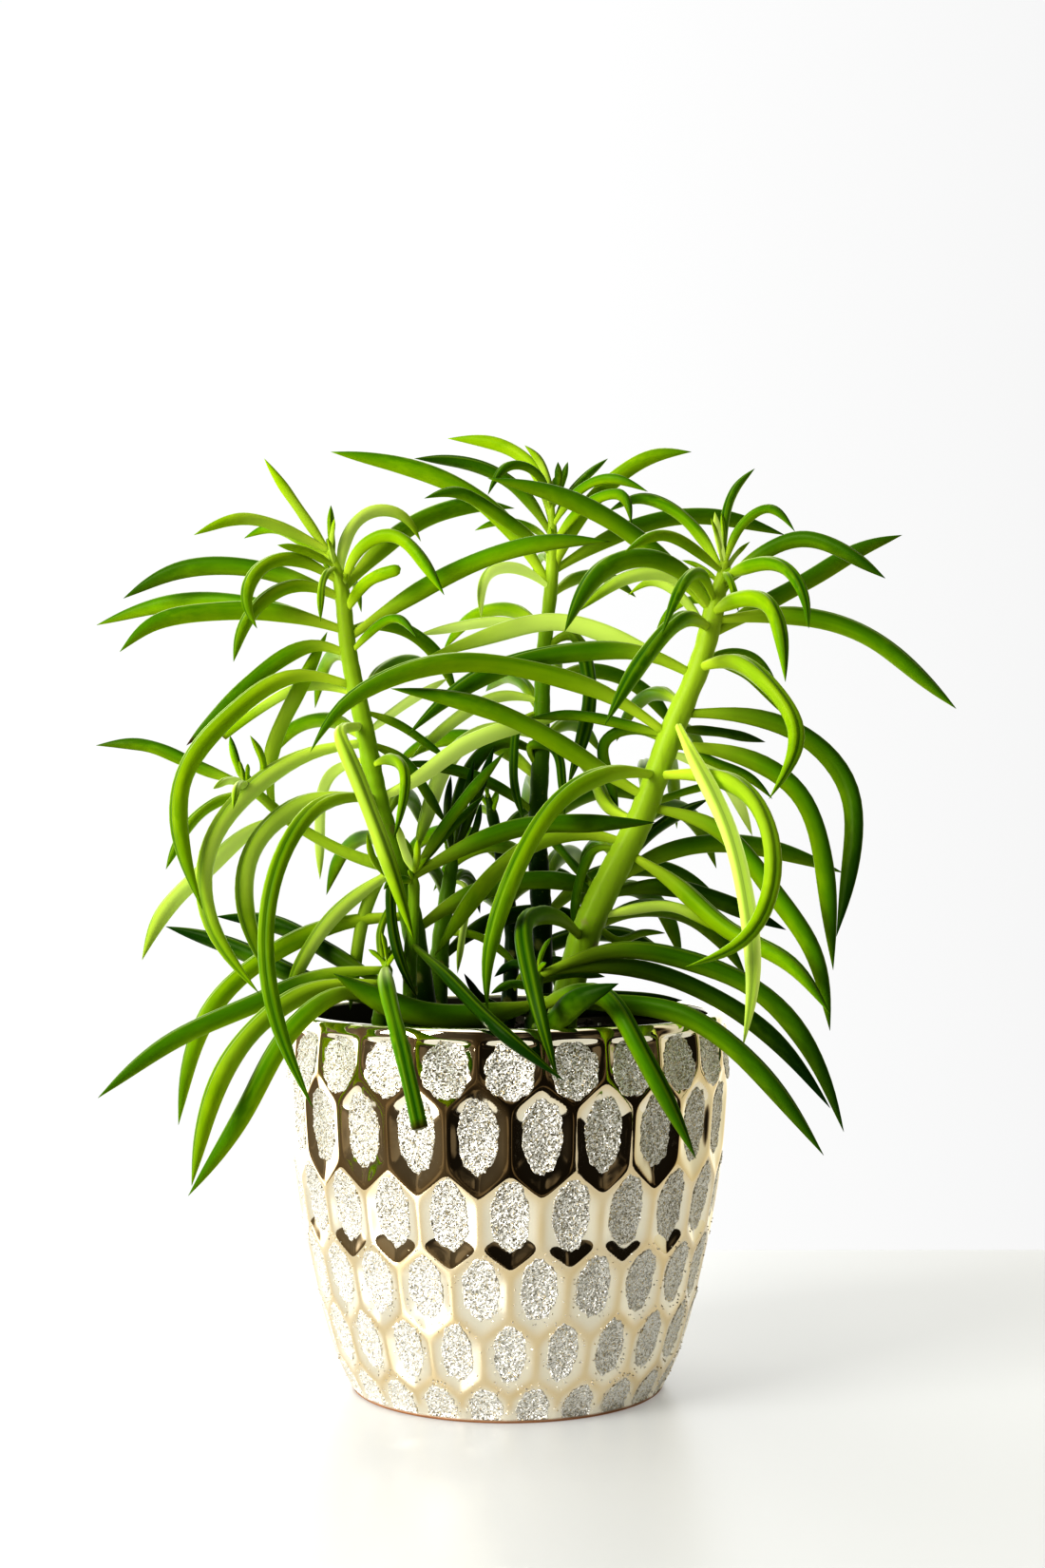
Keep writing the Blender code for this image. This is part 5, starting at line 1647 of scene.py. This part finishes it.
@dataclass
class LeafyStem:
    """One stem with its branch, and its leaves. Sizes in mm."""

    name: str
    plan: StemPlan
    leaves: list[Array]
    seed: int
    rings: int = 30
    ring_power: float = 0.93
    half_section: Points = ((0.0, 0.36), (0.09, 0.40), (0.19, 0.41), (0.30, 0.33), (0.405, 0.14),
                            (0.37, -0.08), (0.26, -0.30), (0.10, -0.47), (0.0, -0.50))
    lip_at: float = 0.17
    lip_width: float = 0.07
    lip_up: float = 0.3
    twist: float = 0.5
    roll: float = 0.25
    unevenness: float = 0.035
    uneven_waves: Band = (1.5, 3.5)
    size_spread: Band = (0.96, 1.06)
    least_width: float = 0.015
    # Painted light and painted shade by the height of a leaf's root: darker low down, lighter at the crown
    tone_heights: tuple[float, ...] = (100.0, 150.0, 200.0, 260.0)
    tones: tuple[float, ...] = (-1.05, -0.5, 0.1, 0.3)
    tone_spread: float = 0.15
    tone_limits: Band = (-2.0, 2.6)
    cut_scar: Band = (0.97, 1.0)
    cut_brown: float = 0.8
    withered_scar: Band = (0.93, 0.97)
    stem_sides: int = 32
    stem_rings: int = 150
    soil_up: float = 102.0
    buried: float = 12.0
    buried_rings: int = 13
    foot_flare: float = 1.08
    node_swelling: float = 0.10
    node_length: float = 2.6
    top_taper: float = 0.45
    taper_band: Band = (0.9, 1.0)
    dome_rings: int = 6
    dome_least: float = 0.0004
    stem_tone_shares: Triple = (0.0, 1 / 3, 1.0)
    stem_tone_spread: float = 0.1
    stem_scars: int = 5
    scar_size: float = 1.9
    scar_sizes: Band = (0.6, 1.1)
    scar_edge: Band = (0.6, 1.1)
    scar_depth: float = 0.22
    scar_lowest: int = 16
    buds_per_mm: float = 3.0
    bud_lengths: Band = (4.2, 7.4)
    bud_shortening: float = 0.35
    bud_sink: float = 0.9
    bud_rise: float = 86.0
    bud_fall: float = 34.0
    bud_falls: Band = (0.7, 1.3)
    bud_bends: Band = (5.0, 45.0)
    bud_look: LeafLook = LeafLook(1.2, girth=0.62)

    # Ribs of a stem: how many around, their lean along the stem and their depth in shares of the radius
    ribs: Points = ((5, 3, 0.012), (9, -5, 0.01))

    def section(self) -> tuple[Array, Array, Array]:
        """The blade's section round from the groove down one flank to the keel and up the other.

        Returns:
            Rows of (across, up) in shares of the size, the side mark, which runs from 0 at the groove to 1 at
            the keel, and the lip mark, which is 1 on the two edges of the groove.
        """
        half = np.array(self.half_section)
        way = np.linspace(0, 1, len(half))
        across_up = np.concatenate([half, half[-2:0:-1] * (-1, 1)])
        side = np.concatenate([way, way[-2:0:-1]])
        lip = np.exp(-(((np.abs(across_up[:, 0]) - self.lip_at) / self.lip_width) ** 2))
        return across_up, side, lip * (across_up[:, 1] > self.lip_up)

    def leaf_frame(self, points: Array, line: Array) -> tuple[Array, Array]:
        """Directions square to a leaf, which lies in an upright plane.

        Args:
            points: the leaf's own points.
            line: its centreline.

        Returns:
            Across it and above it, at each point of the line.
        """
        ahead = directions_along(line)
        outward = (points[-1] - points[0]) * (1, 1, 0)
        if np.linalg.norm(outward) < 1:
            outward = np.array([0.0, -1.0, 0.0])
        across = np.cross(outward, UP)
        across = unit(across - ahead * (ahead @ across)[:, None])
        return across, np.cross(across, ahead)

    def bud_leaves(self, limb: Limb, draw: np.random.Generator) -> list[Array]:
        """The youngest leaves at a limb's tip, as steep short arcs at the golden angle from each other.

        Their number and lengths grow with the tip's radius.

        Args:
            limb: the limb.
            draw: the random numbers.

        Returns:
            Each leaf's own points.
        """
        line = SIGHT.true_place(smooth_path(limb.route, np.linspace(0, 1, 40)))
        turn = draw.uniform(0, FULL_TURN)
        buds = []
        count = round(self.buds_per_mm * limb.radii[1])
        for number in range(count):
            share = number / count
            root = line[-1] - (line[-1] - line[-6]) * self.bud_sink * share
            length = (1 - self.bud_shortening * share) * limb.radii[1] * draw.uniform(*self.bud_lengths)
            fall = self.bud_fall * (1 - abs(2 * share - 1)) * draw.uniform(*self.bud_falls)
            rise, bend = math.radians(self.bud_rise - fall), math.radians(draw.uniform(*self.bud_bends))
            buds.append(arched_points(root, turn + number * GOLDEN_ANGLE, length, rise, bend))
        return buds

    def end_scar(self, shares: Array, ending: Ending) -> Array:
        """How brown a leaf is along its length: at a cut or withered end only.

        Args:
            shares: how far along, from 0 at the root to 1 at the tip.
            ending: how the leaf ends.

        Returns:
            The scar mark at each.
        """
        if ending is Ending.CUT:
            return self.cut_brown * smooth_step(*self.cut_scar, shares)
        if ending is Ending.WITHERED:
            return smooth_step(*self.withered_scar, shares)
        return np.zeros_like(shares)

    def add_leaf(self, shell: Shell, points: Array, look: LeafLook, draw: np.random.Generator) -> None:
        """Carries the blade's section along the leaf, with a slow twist and a slightly uneven size.

        Args:
            shell: what it is added to.
            points: the leaf's own points.
            look: how it differs.
            draw: the random numbers.
        """
        shares = np.linspace(0, 1, self.rings) ** self.ring_power
        line = smooth_path(points, shares)
        across, above = self.leaf_frame(points, line)
        roll = (self.twist * draw.uniform(-1, 1) * shares**1.5 + self.roll * draw.uniform(-1, 1))[:, None]
        turned = np.stack([across * np.cos(roll) + above * np.sin(roll),
                           above * np.cos(roll) - across * np.sin(roll)])
        waves = np.sin(FULL_TURN * (shares * draw.uniform(*self.uneven_waves) + draw.uniform()))
        widths = np.maximum(BLADE.widths(shares, look.ending), self.least_width)
        size = look.girth * BLADE.size(line_length(line)) * widths * (1 + self.unevenness * waves)
        size = (size * draw.uniform(*self.size_spread))[:, None, None]
        section, side, lip = self.section()
        rings = (line[:, None] + section[None, :, :1] * size * turned[0][:, None]
                 + section[None, :, 1:] * size * turned[1][:, None])
        # The tone adds the look's tone, the stem's shade and the painted light and shade by height
        by_height = np.interp(points[0, 2], self.tone_heights, self.tones)
        tone = look.tone + self.plan.shade + by_height + self.tone_spread * draw.normal()
        shell.add_tube(rings[:, ::-1], side=side[None, ::-1], lip=lip[None, ::-1], along=shares[:, None],
                       tone=np.clip(tone, *self.tone_limits),
                       scar=self.end_scar(shares, look.ending)[:, None])

    def limb_shape(self, limb: Limb, is_buried: bool) -> tuple[Array, Array, Array]:
        """The limb's centreline, radii and shares from foot to tip, swollen at each leaf's root.

        Args:
            limb: the limb.
            is_buried: whether it starts down in the soil, as a stem does and a branch doesn't.

        Returns:
            Points, radii, and shares from 0 at the soil to 1, or 1 throughout for a branch.
        """
        shares = np.linspace(0, 1, self.stem_rings)
        line = SIGHT.true_place(smooth_path(limb.route, shares))
        roots = np.array([self.nearest_share(line, leaf[0]) for leaf in self.leaves])
        off_root = (shares[:, None] - roots[None]) * line_length(line) / self.node_length
        radii = np.linspace(*limb.radii, len(line)) * (1 + self.node_swelling * np.exp(-off_root**2).max(1))
        radii = radii * (1 - self.top_taper * smooth_step(*self.taper_band, shares))
        if not is_buried:
            return line, radii, np.ones_like(shares)
        count = self.buried_rings
        foot = np.tile(line[0], (count, 1))
        foot[:, 2] = np.linspace(self.soil_up - self.buried, line[0, 2], count + 1)[:-1]
        radii = np.concatenate([radii[0] * np.linspace(self.foot_flare, 1.0, count), radii])
        return np.vstack([foot, line]), radii, np.concatenate([np.zeros(count), shares])

    def add_limb(self, shell: Shell, limb: Limb, is_buried: bool, draw: np.random.Generator) -> None:
        """A round tapered tube along the limb, with faint ribs, a domed tip and scars of fallen leaves.

        Args:
            shell: what it is added to.
            limb: the limb.
            is_buried: whether it starts in the soil.
            draw: the random numbers.
        """
        line, radii, along = self.limb_shape(limb, is_buried)
        ahead = directions_along(line)
        across = unit(np.cross(ahead, (0, 1, 0)))
        rise = np.linspace(0, 1, self.dome_rings + 1)[1:]
        line = np.vstack([line, line[-1] + ahead[-1] * (radii[-1] * rise)[:, None]])
        radii = np.concatenate([radii, radii[-1] * np.sqrt(np.clip(1 - rise**2, self.dome_least, 1))])
        along, across, side = (np.concatenate([kept, np.repeat(kept[-1:], self.dome_rings, axis=0)])
                               for kept in (along, across, np.cross(across, ahead)))
        angles = outward_ways(self.stem_sides)[0]
        circle = (np.cos(angles)[None, :, None] * across[:, None]
                  + np.sin(angles)[None, :, None] * side[:, None])
        ribs = sum((depth * np.sin(count * angles + lean * along[:, None])
                    for count, lean, depth in self.ribs), 1.0)
        rings = line[:, None] + circle * (radii[:, None] * ribs)[..., None]
        scars = np.zeros(rings.shape[:2])
        for _ in range(self.stem_scars if is_buried else 0):
            middle = rings[draw.integers(self.scar_lowest, len(line) // 2), draw.integers(self.stem_sides)]
            away = np.linalg.norm(rings - middle, axis=-1) / (self.scar_size * draw.uniform(*self.scar_sizes))
            scars = np.maximum(scars, 1 - smooth_step(*self.scar_edge, away))
            dent = np.exp(-((away - 0.85) / 0.3) ** 2) - 0.8 * np.exp(-(away / 0.5) ** 2)
            rings += self.scar_depth * dent[..., None] * circle
        # Painted light and painted shade along the stem, from the plan's stem tones
        tone = np.interp(along, self.stem_tone_shares, self.plan.stem_tones)
        shell.add_tube(rings, tone=(tone + self.stem_tone_spread * draw.normal())[:, None], scar=scars)

    @staticmethod
    def nearest_share(line: Array, place: Array) -> float:
        """How far along a line, from 0 to 1, the nearest of its points is, or 9 where none is within 1 mm."""
        apart = np.linalg.norm(line - place, axis=1)
        return float(np.argmin(apart) / (len(line) - 1)) if apart.min() < 1.0 else 9.0

    def build(self, leaf_skin: bpy.types.Material, stem_skin: bpy.types.Material) -> None:
        """Makes the stem and its leaves, and hangs them on the frame.

        Args:
            leaf_skin: the leaves' material.
            stem_skin: the stems' material.
        """
        draw = np.random.default_rng(self.seed)
        stem = Shell("tone", "scar")
        for limb in self.plan.limbs:
            self.add_limb(stem, limb, limb is self.plan.limb, draw)
        foliage = Shell("side", "lip", "along", "tone", "scar")
        for number, points in enumerate(self.leaves):
            self.add_leaf(foliage, points, self.plan.look(number), draw)
        for limb in self.plan.limbs:
            for points in self.bud_leaves(limb, draw):
                self.add_leaf(foliage, points, self.bud_look, draw)
        stalks, blades = stem.build(f"{self.name}_stalk"), foliage.build(f"{self.name}_leaves")
        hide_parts(self.name)
        hang(stalks, stem_skin, Slot.FOLIAGE)
        hang(blades, leaf_skin, Slot.FOLIAGE)


@dataclass
class Studio:
    """Pale table, a room of light, a broad lamp at the left and the front camera. Metres and degrees."""

    table_back: float = 0.204
    table_front: tuple[float, float] = (-0.150, -0.260)
    table_left: float = -0.23
    table_right: float = 0.28
    floor_front: float = -3.0
    floor_half: float = 1.4
    table_white: Colour = (0.36, 0.365, 0.355)
    table_cloud: float = 0.985
    table_roughness: float = 0.32
    table_roughness_spread: float = 0.05
    table_mirror: float = 0.35
    # Painted light: the table gives off light, brighter at the left, which lifts its shadows
    painted_table_light: float = 0.26
    glow_left: Colour = (0.95, 0.95, 0.93)
    glow_right: Colour = (0.74, 0.745, 0.735)
    glow_band: Band = (-0.02, 0.10)
    light_all_round: float = 1.1
    light_leftward: float = 0.62
    warm_right: Colour = (1.0, 0.96, 0.78)
    warm_band: Band = (0.0, 0.8)
    dark_tint: Colour = (1.0, 0.80, 0.54)
    dark_way: tuple[float, float] = (-0.17, -0.985)
    dark_sides: Band = (-0.30, -0.16)
    dark_top: Band = (0.86, 0.74)
    patch_band: Band = (0.52, 0.66)
    dark_light: float = 0.015
    patch_light: float = 0.12
    left_light: float = 0.13
    wall_left: float = 0.705
    wall_fall: float = 0.22
    lamp_size: tuple[float, float] = (0.85, 1.0)
    lamp_watts: float = 34.0
    lamp_at: Triple = (-1.30, -0.97, 0.80)
    lamp_aim: Triple = (0.0, 0.0, 0.12)
    lens: float = 50.0
    sensor: float = 36.0
    pitch: float = 1.25

    def build_table(self) -> None:
        """The table, and a floor around it that mirrors don't show, so that the pot reflects a dark room.
        Both give off painted light, brighter at the left, that lifts their shadows.
        """
        skin = Skin("pale_table")
        cloud = skin.noise(skin.places, 6.0, 1.0)
        # Painted light: the emission colour, brighter at the left than at the right
        painted_glow = skin.blend(skin.parts(skin.places)[0].step(*self.glow_band), self.glow_left, self.glow_right)
        surface = skin.finish(
            Base_Color=skin.blend(cloud, self.table_white,
                                  tuple(self.table_cloud * part for part in self.table_white)),
            Roughness=self.table_roughness + self.table_roughness_spread * cloud,
            Specular_IOR_Level=self.table_mirror,
            Emission_Color=painted_glow,
            Emission_Strength=self.painted_table_light,
        )
        half, front, back = self.floor_half, self.floor_front, self.table_back
        left, right = self.table_left, self.table_right
        near_left, near_right = self.table_front
        sheets = {
            "table": ((left, near_left), (right, near_right), (right, back), (left, back)),
            "floor_front": ((left, front), (right, front), (right, near_right), (left, near_left)),
            "floor_left": ((-half, front), (left, front), (left, back), (-half, back)),
            "floor_right": ((right, front), (half, front), (half, back), (right, back)),
        }
        for name, corners in sheets.items():
            mesh = bpy.data.meshes.new(name)
            mesh.from_pydata([(*corner, 0.0) for corner in corners], [], [(0, 1, 2, 3)])
            mesh.materials.append(surface)
            sheet = link_new(name, mesh)
            sheet.visible_glossy = name == "table"

    def build_room(self) -> None:
        """The room as light: bright all round, and dim with a few patches in front. The camera sees white."""
        world = bpy.data.worlds.new("room")
        bpy.context.scene.world = world
        world.use_nodes = True
        board = Board(world.node_tree)
        way = board.node("ShaderNodeTexCoord").outputs["Generated"]
        x, y, z = board.parts(way)
        flat = (x * x + y * y).most(0.0001) ** 0.5
        facing = (self.dark_way[0] * (x / flat) + self.dark_way[1] * (y / flat)).step(*self.dark_sides)
        dark = facing * z.step(*self.dark_top)
        patches = board.noise(way, 3.5, 3.0).step(*self.patch_band)
        dim = self.dark_light + self.patch_light * patches - self.left_light * x.least(0.0)
        light = (self.light_all_round - self.light_leftward * x) * (1 - dark) + dim * dark
        tint = board.coats(WHITE, (x.step(*self.warm_band), self.warm_right), (dark, self.dark_tint))
        lit = board.node("ShaderNodeBackground", None, {"Color": tint, "Strength": light})
        plain = board.node("ShaderNodeBackground", None, {
            "Color": WHITE, "Strength": self.wall_left - self.wall_fall * x.most(0.0)})
        path = board.node("ShaderNodeLightPath")
        mixed = board.node("ShaderNodeMixShader", None, {
            0: path.outputs["Is Camera Ray"], 1: lit.outputs[0], 2: plain.outputs[0]})
        board.put(board.tree.nodes["World Output"].inputs["Surface"], mixed.outputs[0])

    def build_lamp(self) -> None:
        """One broad soft light from the left, like a window."""
        data = bpy.data.lights.new("left_window", "AREA")
        data.shape = "RECTANGLE"
        data.size, data.size_y = self.lamp_size
        data.energy = self.lamp_watts
        lamp = link_new("left_window", data)
        lamp.location = self.lamp_at
        lamp.rotation_euler = (Vector(self.lamp_aim) - lamp.location).to_track_quat("-Z", "Y").to_euler()
        lamp.visible_camera = False

    def build_camera(self) -> None:
        """The camera at the photograph's place, tipped up a little, without shift or depth of field."""
        data = bpy.data.cameras.new("camera")
        data.lens = self.lens
        data.sensor_fit = "VERTICAL"
        data.sensor_height = self.sensor
        data.sensor_width = self.sensor
        data.dof.use_dof = False
        data.clip_start, data.clip_end = 0.01, 50.0
        camera = link_new("camera", data)
        camera.location = (SIGHT.across * MM, -SIGHT.away * MM, SIGHT.up * MM)
        camera.rotation_euler = (math.radians(90 + self.pitch), 0.0, 0.0)
        bpy.context.scene.camera = camera

    def build(self) -> None:
        """Sets up the table, the room, the lamp, the camera and how colours are shown."""
        self.build_table()
        self.build_room()
        self.build_lamp()
        self.build_camera()
        bpy.context.scene.view_settings.view_transform = "Standard"
        bpy.context.scene.view_settings.look = "High Contrast"


def main() -> None:
    """Builds the pot, the soil, each leafy stem and the studio, in that order."""
    logging.basicConfig(level=logging.INFO, format="%(message)s", force=True)
    for thing in [o for o in bpy.data.objects if o.name in ("Cube", "Light", "Camera")]:
        bpy.data.objects.remove(thing)
    leaves = Growth(STEM_PLANS).grow()
    pot = DimpledPot()
    pot.build()
    SoilBed().build(pot)
    leaf_skin, stem_skin = LeafSkin().material(), StemSkin().material()
    for seed, (name, plan) in enumerate(STEM_PLANS.items()):
        LeafyStem(name, plan, leaves[name], seed).build(leaf_skin, stem_skin)
    Studio().build()


if __name__ == "__main__":
    main()
